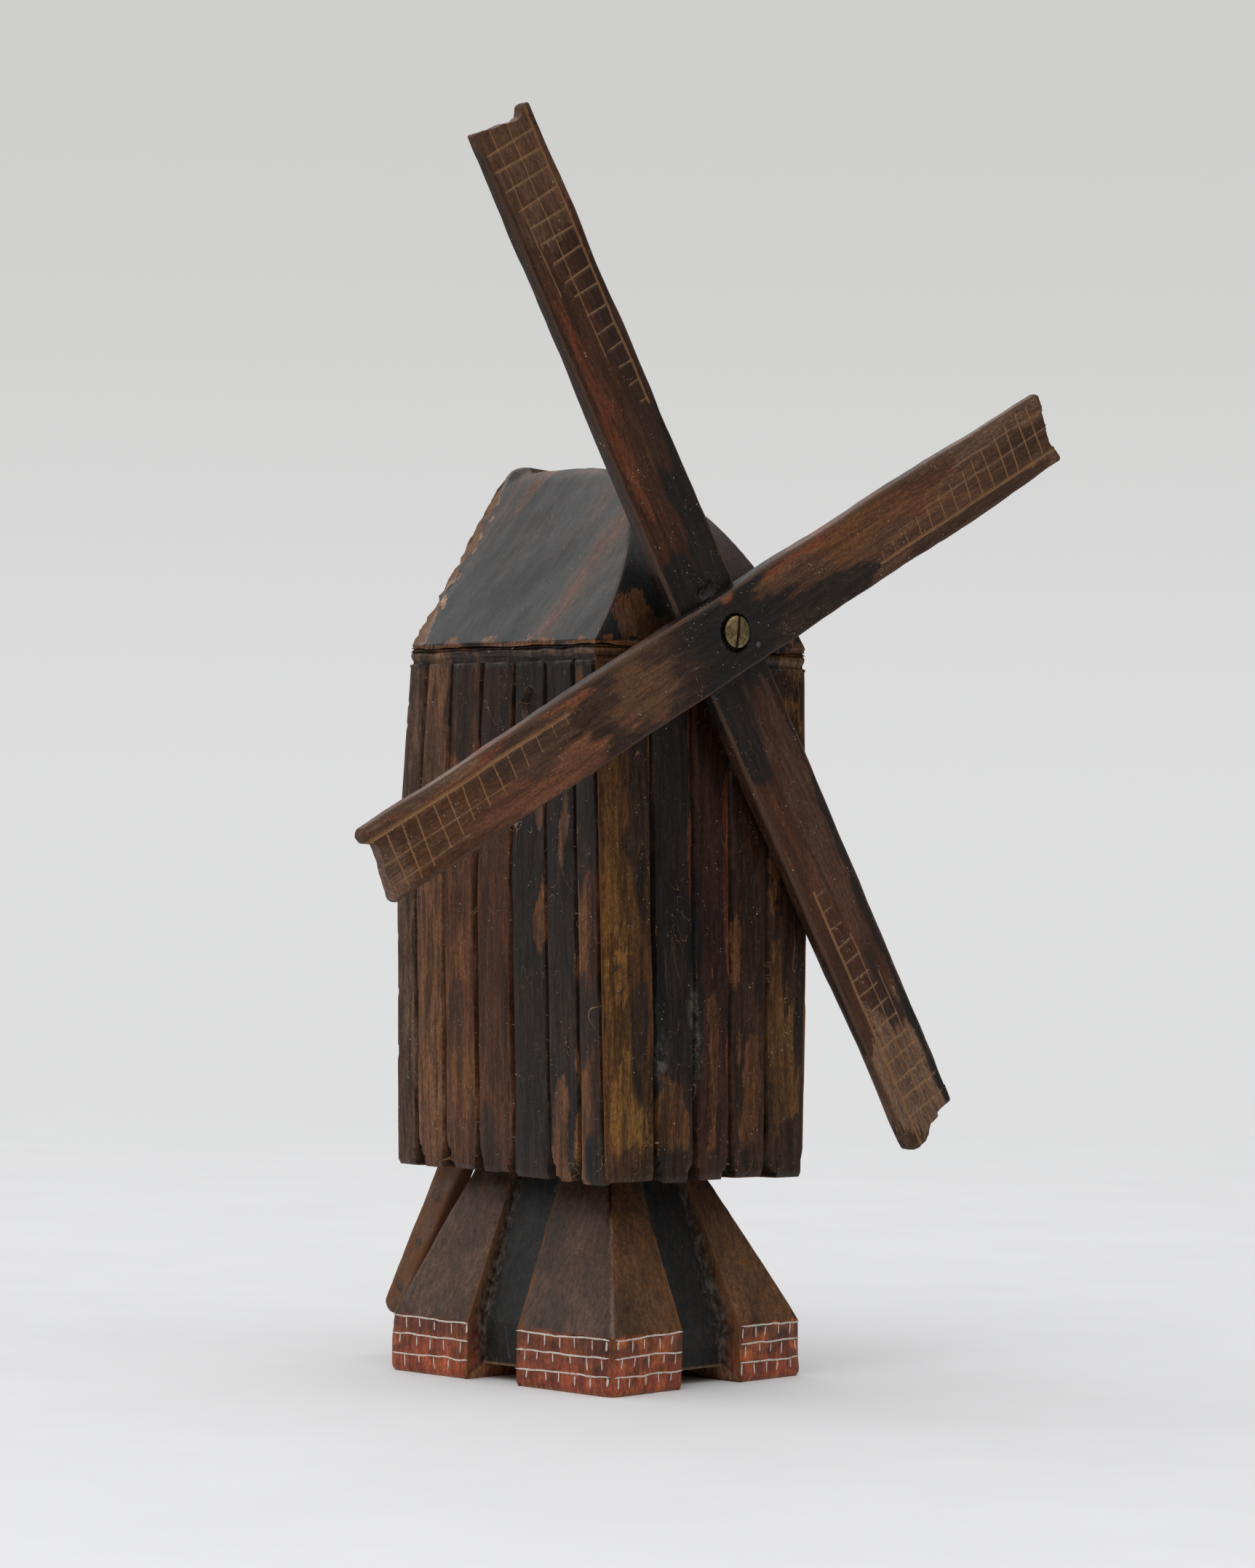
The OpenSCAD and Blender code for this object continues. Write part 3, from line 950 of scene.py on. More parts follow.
@dataclass
class MillBody:
    """The planked walls and the roof, carved from one block of wood.

    face_w, walls_d and roof_d are round sizes that only set how close together places lie.
    """

    profile: BodyProfile
    face_w: float = 60.0
    walls_d: float = 70.0
    roof_d: float = 64.0
    side_grooves: tuple = (0.013, 0.120, 0.262, 0.430, 0.600, 0.762, 0.900)
    front_grooves: tuple = (0.251, 0.444, 0.624, 0.802)
    groove_half: float = 0.62
    groove_depth: float = 1.35
    flare_h: float = 5.5
    strip_h: float = 1.0
    trim_h: float = 4.4
    trim_depth: float = 0.85
    corner_r: float = 0.55
    recess_y: float = -10.0
    recess_drop: float = 13.6
    crackle: tuple = ((-12.8, 71.0), (-2.6, 72.0), (-3.6, 82.0))
    knot_x: float = -25.2
    knot_z: float = 88.5
    side_tones: tuple = (Tone.OCHRE, Tone.SOOT, Tone.SOOT, Tone.SOOT, Tone.RED_BROWN, Tone.CHESTNUT,
                         Tone.BROWN, Tone.GREY_BROWN)
    front_tones: tuple = (Tone.OCHRE, Tone.SOOT, Tone.PLUM, Tone.UMBER, Tone.UMBER)
    patches: tuple = (
        Patch("left", -29.0, 70, 3.0, 60, Tone.WARM, 0.8, 0.5),
        Patch("left", -32.5, 100, 1.6, 60, Tone.RED_BROWN, 0.7, 0.5),
        Patch("left", -30.5, 135, 5.0, 22, Tone.SOOT, 0.9, 0.5),
        Patch("left", -31.5, 50, 2.6, 5, Tone.BLACK, 0.85, 0.3),
        Patch("left", -21.0, 54, 3.0, 12, Tone.WARM, 0.7, 0.6),
        Patch("left", -14.5, 103, 2.0, 9, Tone.WARM, 0.8, 0.9),
        Patch("left", -22.5, 124, 1.6, 9, Tone.BROWN, 0.7, 0.9),
        Patch("left", -14.0, 126, 1.4, 8, Tone.BROWN, 0.6, 0.9),
        Patch("left", -27.0, 148, 1.4, 7, Tone.WARM, 0.8, 0.7),
        Patch("left", 14.5, 148, 5.5, 14, Tone.SOOT, 0.9, 0.5),
        Patch("left", 2.0, 150, 6.5, 22, Tone.BLACK, 0.75, 0.4),
        Patch("left", 24.0, 72, 3.6, 30, Tone.WARM, 0.45, 0.6),
        Patch("left", 13.5, 74, 3.5, 26, Tone.WARM, 0.4, 0.6),
        Patch("left", 24.0, 138, 4.0, 18, Tone.UMBER, 0.6, 0.8),
        Patch("left", 14.0, 118, 3.6, 16, Tone.RED_BROWN, 0.6, 0.8),
        Patch("left", 31.5, 124, 2.6, 24, Tone.SOOT, 0.4, 1.0),
        Patch("left", 4.0, 52, 3.0, 8, Tone.SOOT, 0.6, 0.8),
        Patch("left", 34.0, 62, 3.0, 16, Tone.UMBER, 0.5, 0.6),
        Patch("left", -10.0, 80, 30, 8, Tone.UMBER, 0.25, 0.6),
        Patch("front", -22.5, 60, 7.0, 12, Tone.GOLD, 0.6, 0.7),
        Patch("front", -26.5, 104, 2.6, 16, Tone.GOLD, 0.30, 1.2),
        Patch("front", -25.0, 89, 3.0, 7, Tone.GOLD, 0.55, 0.8),
        Patch("front", -27.0, 140, 2.0, 16, Tone.WARM, 0.6, 0.9),
        Patch("front", -18.5, 78, 2.4, 12, Tone.SOOT, 0.8, 0.7),
        Patch("front", -19.0, 128, 4.0, 26, Tone.SOOT, 0.85, 0.6),
        Patch("front", -13.2, 82, 1.9, 15, Tone.BLACK, 1.0, 0.5),
        Patch("front", -3.4, 84, 2.5, 17, Tone.BLACK, 1.0, 0.5),
        Patch("front", -11.0, 57, 5.0, 9, Tone.OCHRE, 0.9, 0.8),
        Patch("front", -7.5, 57, 2.0, 6, Tone.WARM, 0.6, 1.0),
        Patch("front", 1.6, 66, 1.2, 18, Tone.WARM, 0.6, 1.2),
        Patch("front", 6.2, 112, 0.8, 34, Tone.RUST, 0.30, 1.4),
        Patch("front", -4.4, 124, 0.6, 22, Tone.RUST, 0.22, 1.4),
        Patch("front", 9.0, 92, 1.4, 12, Tone.WARM, 0.6, 1.3),
        Patch("front", 13.0, 60, 2.6, 13, Tone.WARM, 0.5, 1.0),
        Patch("front", 26.5, 144, 2.8, 18, Tone.GOLD, 0.55, 1.3),
        Patch("front", 20.0, 140, 2.0, 14, Tone.WARM, 0.5, 1.2),
        Patch("front", 20.5, 88, 2.0, 24, Tone.OCHRE, 0.9, 1.0),
        Patch("front", 24.5, 68, 2.6, 14, Tone.GOLD, 0.35, 1.2),
        Patch("front", 28.0, 84, 1.6, 24, Tone.SOOT, 0.8, 0.9),
        Patch("front", 0.0, 48, 40, 4.0, Tone.UMBER, 0.5, 0.9),
        Patch("right", 0.0, 110, 20, 22, Tone.SOOT, 0.6, 0.6),
        Patch("right", 20.0, 66, 9, 24, Tone.WARM, 0.5, 0.6),
        Patch("right", -24.0, 84, 7, 30, Tone.OCHRE, 0.5, 0.7),
        Patch("back", 4.0, 120, 12, 28, Tone.SOOT, 0.6, 0.6),
        Patch("back", -16.0, 70, 6, 24, Tone.WARM, 0.5, 0.7),
    )
    gable_patches: tuple = (
        Patch("gable", -21.0, 166.5, 6.0, 5.5, Tone.WARM, 0.7, 0.8),
        Patch("gable", -24.5, 172.0, 1.6, 4.0, Tone.RUST, 0.5, 0.9),
        Patch("gable", -13.0, 163.5, 6.0, 3.0, Tone.OCHRE, 0.6, 0.7),
        Patch("gable", 10.0, 178.0, 9.0, 16.0, Tone.PLUM, 0.8, 0.4),
        Patch("gable", 18.5, 172.5, 3.4, 1.2, Tone.RUST, 0.75, 0.8),
        Patch("gable", 20.0, 166.0, 7.0, 4.0, Tone.UMBER, 0.7, 0.6),
    )

    def build(self) -> None:
        """Builds and dresses both pieces."""
        # On the walls cut_tone darkens the plank grooves (the cut mask) almost to black: painted shade in the
        # grooves.
        walls = StainedWood("varnished_planks", gloss=0.36, coat=0.05, edge_tone=Tone.WARM, edge_amount=0.58,
                            cut_tone=Tone.SOOT, cut_strength=0.85, streak=0.48, speck=0.75, scratch=0.9,
                            shine=0.17)
        roof = StainedWood("roof_stain", gloss=0.42, coat=0.06, edge_tone=Tone.HAZEL, edge_amount=0.55,
                           cut_tone=Tone.BLACK, streak=0.3, speck=0.6, scratch=0.3, shine=0.27)
        place = Place("mill", "body_wood", ("mill_body",))
        place.settle(self._walls().object("mill_walls"), walls.material())
        place.settle(self._roof().object("mill_roof"), roof.material())

    def _section(self, block: Block, z: Array, radius: Array | float) -> Array:
        """Puts a block's vertices on the body's rounded cross-sections.

        Args:
            block: The block.
            z: Each vertex's height.
            radius: The radius of the upright corners.

        Returns:
            The points.
        """
        half = self.profile.half_width(z)
        front, back = self.profile.front(z), self.profile.back(z)
        wobble_v = ripple(block.at_v * 9, z / 15, 0.5, 11) * 0.004 * np.sin(np.pi * block.at_v) ** 0.5
        wobble_u = ripple(block.at_u * 9, z / 15, 7.5, 12) * 0.005 * np.sin(np.pi * block.at_u) ** 0.5
        x = -half + 2 * half * (block.at_u + wobble_u)
        y = front + (back - front) * (block.at_v + wobble_v)
        flat = np.column_stack([x, y, np.zeros_like(x)])
        low = np.column_stack([-half, front, np.zeros_like(x)])
        high = np.column_stack([half, back, np.zeros_like(x)])
        moved = rounded(flat, low, high, radius)
        return np.column_stack([moved[:, 0], moved[:, 1], z])

    def _grooves(self, at: Array, grooves: tuple, width: float, above: Array, seed: int) -> tuple:
        """Works out one face's plank grooves.

        Args:
            at: Places across the face, from 0 to 1.
            grooves: The grooves' places, from 0 to 1.
            width: The face's width.
            above: The height above the planks' lower ends.
            seed: Picks the knife's unevenness.

        Returns:
            The depth, the grooves' mask, the plank edges' mask and each vertex's plank number.
        """
        depth = np.zeros_like(at)
        mask = np.zeros_like(at)
        edge = np.zeros_like(at)
        plank = np.zeros(at.shape, int)
        for number, groove in enumerate(grooves):
            uneven = 1 + 0.35 * ripple(above / 11, number * 3.7, 0.0, seed)
            flare = np.clip(1 - above / self.flare_h, 0, 1)
            lean = ripple(number * 5.3, 0.0, 0.0, seed + 2) * flare * 1.8
            half = self.groove_half * uneven + flare * (1.1 + 0.7 * ripple(number * 7.7, 2.0, 0.0, seed + 3))
            gap = (at - groove) * width - lean
            cut = np.clip(vee(gap, half) * (1.5 + 3.0 * flare), 0, 1)
            depth = np.maximum(depth, cut * self.groove_depth * uneven * (1 + 0.5 * flare))
            mask = np.maximum(mask, cut)
            # The plank edges along each groove, lightened by the worn-edge tone: partly wear, partly a
            # painted highlight on the groove edges.
            edge = np.maximum(edge, vee(np.abs(gap) - half, 0.35))
            plank += (at > groove).astype(int)
        return depth, mask, edge, plank

    def _walls(self) -> Shape:
        """Builds the walls, from the planks' lower ends up into the roof.

        Returns:
            The walls, carved and coloured.
        """
        top = self.profile.eaves_z - self.strip_h + 0.4
        seams = tuple(groove * self.walls_d for groove in self.side_grooves)
        v = places(0, self.walls_d, 1.0, (*seams, 23.2, 25.0, 26.8), 1.3, 0.26) / self.walls_d
        seams = tuple(groove * self.face_w for groove in self.front_grooves)
        u = places(0, self.face_w, 1.05, seams, 1.3, 0.26) / self.face_w
        groove_z = self.profile.eaves_z - self.trim_h
        recess_z = self.profile.eaves_z - self.recess_drop
        marks = (self.profile.foot_z + 0.8, recess_z - 2.6, recess_z, recess_z + 2.6,
                 groove_z - 0.3, groove_z + 1.0, top - 0.8)
        w = places(self.profile.foot_z, top, 1.15, marks, 1.5, 0.3)
        block = Block(u, v, w)
        z = block.at_w
        shape = Shape(self._section(block, z, self.corner_r), block.quads, block.tris)
        x, y = shape.points[:, 0], shape.points[:, 1]
        above = z - self.profile.foot_z
        side = (block.at_u <= 0) | (block.at_u >= 1)
        ends = ((block.at_v <= 0) | (block.at_v >= 1)) & ~side
        side_cut = self._grooves(block.at_v, self.side_grooves, self.walls_d, above, 21)
        front_cut = self._grooves(block.at_u, self.front_grooves, self.face_w, above, 31)
        planked = ease(groove_z + 0.25, groove_z - 0.35, z + 0.5 * ripple(x / 5, y / 5, 0.0, 5))
        low = ease(5.0, 0.0, above)
        depth = np.where(side, side_cut[0], np.where(ends, front_cut[0] * (0.8 + 0.9 * low), 0)) * planked
        # The grooves' mask, which the walls' finish paints dark: painted shade in the grooves.
        mask = np.where(side, side_cut[1], np.where(ends, front_cut[1] * (0.6 + 0.7 * low), 0)) * planked
        edge = np.where(side, side_cut[2], np.where(ends, front_cut[2], 0)) * planked * 0.4
        drop = self.profile.eaves_z - z
        trim = ease(self.trim_h + 0.1, self.trim_h - 0.3, drop)
        bead = vee(drop - 2.3 - 0.4 * ripple((x - y) / 5, 0.0, 0.0, 85), 1.05) ** 0.5
        trim_cut = trim * self.trim_depth * (1 - 0.75 * bead)
        depth = np.maximum(depth, trim_cut)
        # The trim's hollows: the black laid in them is painted shade, and dust gathers there too.
        hollow = trim * (1 - bead) * 0.6
        corner = self._corner_mask(block, self.walls_d)
        edge = np.maximum(edge, corner)
        hollow = np.maximum(hollow, ease(0.9, 0.2, np.abs(drop - self.trim_h - 0.4)) * 1.2)
        edge = np.maximum(edge, ease(1.4, 0.0, above) * 0.4)
        tools = 0.16 * rough(x / 5, y / 5, z / 22, 41) + 0.05 * rough(x / 1.6, y / 1.6, z / 9, 44)
        crown = self._crown(block, side, ends)
        nick = ease(0.55, 0.75, ripple(z / 2.6, 3.0, 1.0, 71)) * (block.at_v >= 1) * side * 0.7
        window = self._window(side, y, z)
        depth = depth + tools + crown * planked + nick + window[0] + ease(1.6, 0.0, above) ** 2 * 0.5
        plank = np.where(side, side_cut[3], front_cut[3])
        marks = {"cut": mask, "edge": edge, "hollow": hollow, "rim": window[1], "bead": bead * trim}
        shape.masks = self._wall_masks(block, shape.points, plank, side, marks)
        shape.carve(depth, z < self.profile.foot_z + 0.5)
        lift = ease(7, 0, above) * ripple(plank * 3.1, side * 5.0, block.at_v.round() * 2.0, 77) * 0.55
        notch = np.where(ends, front_cut[1], side_cut[1] * side * 0.5) * ease(2.6, 0.0, above) * 1.5
        shape.points[:, 2] += lift + notch
        return shape

    def _corner_mask(self, block: Block, depth: float) -> Array:
        """The mask of the upright corners.

        Args:
            block: The block.
            depth: The side faces' width.

        Returns:
            The mask.
        """
        from_side = np.minimum(block.at_u, 1 - block.at_u) * self.face_w
        from_end = np.minimum(block.at_v, 1 - block.at_v) * depth
        return ease(0.9, 0.1, np.hypot(from_side, from_end))

    def _crown(self, block: Block, side: Array, ends: Array) -> Array:
        """The gentle tilt and crown of each plank's face.

        Args:
            block: The block.
            side: Which vertices lie on the sides.
            ends: Which vertices lie on the front and back.

        Returns:
            The depth.
        """
        total = np.zeros_like(block.at_u)
        faces = ((block.at_v, self.side_grooves, side, 51), (block.at_u, self.front_grooves, ends, 61))
        for at, grooves, on_face, seed in faces:
            knots = np.array([0, *grooves, 1])
            number = np.clip(np.searchsorted(knots, at, side="right") - 1, 0, len(knots) - 2)
            part = (at - knots[number]) / (knots[number + 1] - knots[number])
            tilt = ripple(number * 4.3, 1.0, 0.0, seed) * 0.35 * (part - 0.5)
            total += on_face * (0.32 * (2 * part - 1) ** 4 + tilt + 0.12)
        return total

    def _window(self, side: Array, y: Array, z: Array) -> tuple[Array, Array]:
        """The small arched recess near the top of each side.

        Args:
            side: Which vertices lie on the sides.
            y: Each vertex's y.
            z: Each vertex's height.

        Returns:
            The depth and the mask of its rim.
        """
        near = np.hypot((y - self.recess_y) / 2.5, (z - self.profile.eaves_z + self.recess_drop) / 3.6)
        recess = ease(1.06, 0.9, near) * side
        rim = vee(near - 1.0, 0.16) * side
        return recess * 1.3, rim

    def _wall_masks(self, block: Block, spots: Array, plank: Array, side: Array,
                    marks: dict[str, Array]) -> dict[str, Array]:
        """Colours the walls.

        Args:
            block: The block.
            spots: The vertices' places.
            plank: The number of each vertex's plank.
            side: Which vertices lie on the sides.
            marks: The masks of the cuts, worn edges and hollows, the recess's rim and the eaves' bead.

        Returns:
            The masks, stain and coordinates.
        """
        x, y, z = spots.T
        hollow = marks["hollow"]
        side_rgb = np.array([tone.rgb for tone in self.side_tones])
        front_rgb = np.array([tone.rgb for tone in self.front_tones])
        last = len(self.front_tones) - 1
        stain = np.where(side[:, None], side_rgb[plank], front_rgb[np.minimum(plank, last)])
        cloud = rough(x / 9, y / 9, z / 34, 81, 4)
        stain = stain * (1 + 0.45 * cloud)[:, None]
        left, right = side & (block.at_u <= 0), side & (block.at_u >= 1)
        front, back = ~side & (block.at_v <= 0), ~side & (block.at_v >= 1)
        faces = {"left": (left, y, z), "right": (right, y, z), "front": (front, x, z), "back": (back, x, z)}
        low = ease(self.profile.foot_z + 5, self.profile.foot_z, z)
        stain = paint(stain, Tone.UMBER, 0.35 * low)
        # The trim's hollows and the line under the trim are painted black: painted shade in the grooves.
        stain = paint(stain, Tone.BLACK, np.clip(hollow, 0, 1) * 0.4)
        # The bead is streaked tan in a twisted pattern: partly its own worn colour, partly a painted
        # highlight on its round.
        twist = ease(0.2, 0.6, ripple((x - y) / 2.6, z / 1.2, 0.0, 83))
        stain = paint(stain, Tone.HAZEL, marks["bead"] * (0.25 + 0.7 * twist))
        stain = paint(stain, Tone.HAZEL, marks["rim"] * 0.55)
        layers = lay_patches(np.clip(stain, 0.004, 1), self.patches, faces, 91)
        layers["hollow"] = np.clip(hollow * 0.35, 0, 1)
        for place in self.crackle:
            near = np.hypot((x - place[0]) / 1.7, (z - place[1]) / 6.0)
            layers["hollow"] = np.maximum(layers["hollow"], ease(1.3, 0.4, near) * front * 0.9)
        knot = np.hypot((x - self.knot_x) / 2.1, (z - self.knot_z) / 3.1) + 0.2 * rough(x / 2, z / 2, 0.0, 87)
        for key in ("stain", "under"):
            layers[key] = paint(layers[key], Tone.SOOT, vee(knot - 1, 0.3) * front * 0.8)
            layers[key] = paint(layers[key], Tone.UMBER, ease(0.45, 0.2, knot) * front * 0.7)
        return {**layers, "grain": spots, "edge": np.clip(marks["edge"], 0, 1),
                "cut": np.clip(marks["cut"] * 0.8, 0, 1)}

    def _roof(self) -> Shape:
        """Builds the roof, from the worn strip at its eaves up to the ridge.

        Returns:
            The roof, carved and coloured.
        """
        profile = self.profile
        edge_z = profile.tangent()[1]
        bottom = profile.eaves_z - self.strip_h
        slope = places(bottom, edge_z, 0.62, (profile.eaves_z,), 0.8, 0.2)
        start = math.asin((edge_z - profile.ridge_c) / profile.ridge_r)
        arc = profile.ridge_c + profile.ridge_r * np.sin(np.linspace(start, math.pi / 2, 12))
        u = places(0, self.face_w, 1.0) / self.face_w
        v = places(0, self.roof_d, 0.62, (self.roof_d - 1.5,), 1.5, 0.25) / self.roof_d
        block = Block(u, v, np.array([*slope, *arc[1:-1], profile.ridge_z - 0.004]))
        z = block.at_w
        chips = np.clip(rough(z / 2.4, 0.3, 0.7, 101, 4) + 0.15, 0, 1)
        rear = block.at_v > 0.5
        radius = np.where(rear, 0.5 + 3.2 * chips, 0.45)
        radius = np.minimum(radius, np.maximum(profile.half_width(z) * 0.8, 0.01))
        shape = Shape(self._section(block, z, radius), block.quads, block.tris)
        x, y = shape.points[:, 0], shape.points[:, 1]
        side = (block.at_u <= 0) | (block.at_u >= 1)
        from_rear = (1 - block.at_v) * self.roof_d
        back = (block.at_v >= 1) & ~side
        gable = (block.at_v <= 0) & ~side
        eaves = ease(1.2, 0.1, np.abs(z - profile.eaves_z))
        strip = ease(profile.eaves_z + 0.15, profile.eaves_z - 0.2, z)
        rear_edge = ease(6.6, 1.0, from_rear + 2.6 * rough(z / 3.4, y / 4, 0.0, 111)) * side
        front_edge = self._corner_mask(block, self.roof_d) * (block.at_v < 0.5)
        ridge = ease(edge_z + 0.5, profile.ridge_z, z)
        scar = np.clip(rough(x / 3, y / 3, z / 3, 121, 4), 0, 1) * rear_edge
        holes = ease(0.62, 0.85, ripple(from_rear / 1.5, z / 1.7, 0.0, 125)) * side
        holes = holes * ease(4.5, 1.5, from_rear)
        tools = 0.12 * rough(x / 6, y / 6, z / 6, 131) + 0.04 * rough(x / 1.5, y / 1.5, z / 1.5, 134)
        crest = -1.3 * ease(3.6, 0.6, np.hypot(y - profile.back(z) + 3.0, (z - profile.ridge_z) * 1.2))
        depth = tools + 0.9 * scar + 0.7 * holes + crest
        depth = depth + 0.3 * strip * (0.5 + ripple(x / 4, y / 4, 0.0, 141))
        depth = depth + 0.35 * ridge * np.clip(rough(y / 4, 0.0, 0.0, 151), 0, 1)
        lean = z * 0.96 - y * 0.28
        across = y * 0.96 + z * 0.28
        wave = rough(across / 8, lean / 55, 0.0, 163, 3) + 0.32 * ease(188, 163, z)
        stain = np.tile(Tone.SLATE.rgb, (len(z), 1))
        stain = paint(stain, Tone.CHESTNUT, ease(0.16, -0.4, wave) * 0.85)
        stain = paint(stain, Tone.BLACK, ease(-0.1, 0.4, wave) * 0.8)
        stain = np.where(gable[:, None], Tone.BLACK.rgb, stain)
        rear_stain = Tone.UMBER.rgb * (1 + 0.5 * rough(x / 5, z / 20, 0.0, 181))[:, None]
        stain = np.where(back[:, None], rear_stain, stain)
        stain = paint(stain, Tone.WARM, np.clip(ridge * (0.3 + rough(y / 5, x / 2, 0.0, 195)), 0, 0.7))
        edge = np.clip(np.maximum(np.maximum(rear_edge * 0.75, eaves * 0.35), front_edge * 0.6), 0, 1)
        grain = np.where(side[:, None], np.column_stack([across, x * 0.3, lean]), np.column_stack([x, y, z]))
        layers = lay_patches(np.clip(stain, 0.004, 1), self.gable_patches, {"gable": (gable, x, z)}, 171)
        crumbs = 1.1 * rough(x / 2, y / 1.8, z / 2.6, 127, 3)
        raw = np.clip((0.26 + 0.6 * rear_edge + crumbs) * ease(0.05, 0.4, rear_edge), 0, 1)
        skirt = ease(2.2, 0.7, z - profile.eaves_z + 1.5 * rough(y / 5, x / 5, z / 1.4, 193, 3)) * ~back
        worn = np.maximum(raw, skirt * (0.42 + 0.6 * ripple(x / 3, y / 3, 2.0, 194)))
        worn = np.maximum(worn, strip * (0.55 + 0.6 * ripple(x / 4, y / 4, 1.0, 191)))
        layers["under"] = paint(layers["under"], Tone.HAZEL, ease(0.05, 0.3, raw))
        pale = ease(0.0, 0.5, rough(x / 1.5, y / 1.5, z / 1.5, 128, 2))
        layers["under"] = paint(layers["under"], Tone.CUT, ease(0.05, 0.3, raw) * pale)
        layers["under"] = paint(layers["under"], Tone.WARM, ease(0.05, 0.3, worn - raw))
        layers["bare"] = np.maximum(layers["bare"], worn)
        # The holes along the rear edge are painted black: painted shade in the holes.
        for key in ("stain", "under"):
            layers[key] = paint(layers[key], Tone.BLACK, holes)
        shape.masks = {**layers, "grain": grain, "edge": edge, "cut": np.zeros_like(z),
                       "hollow": np.zeros_like(z)}
        shape.carve(depth)
        return shape


# ---- The base ----


@dataclass(frozen=True)
class BrickFace:
    """One painted outer face: its distance from the middle, the way it looks (-1 or 1) and its side."""

    off: float
    flip: int
    sideways: bool


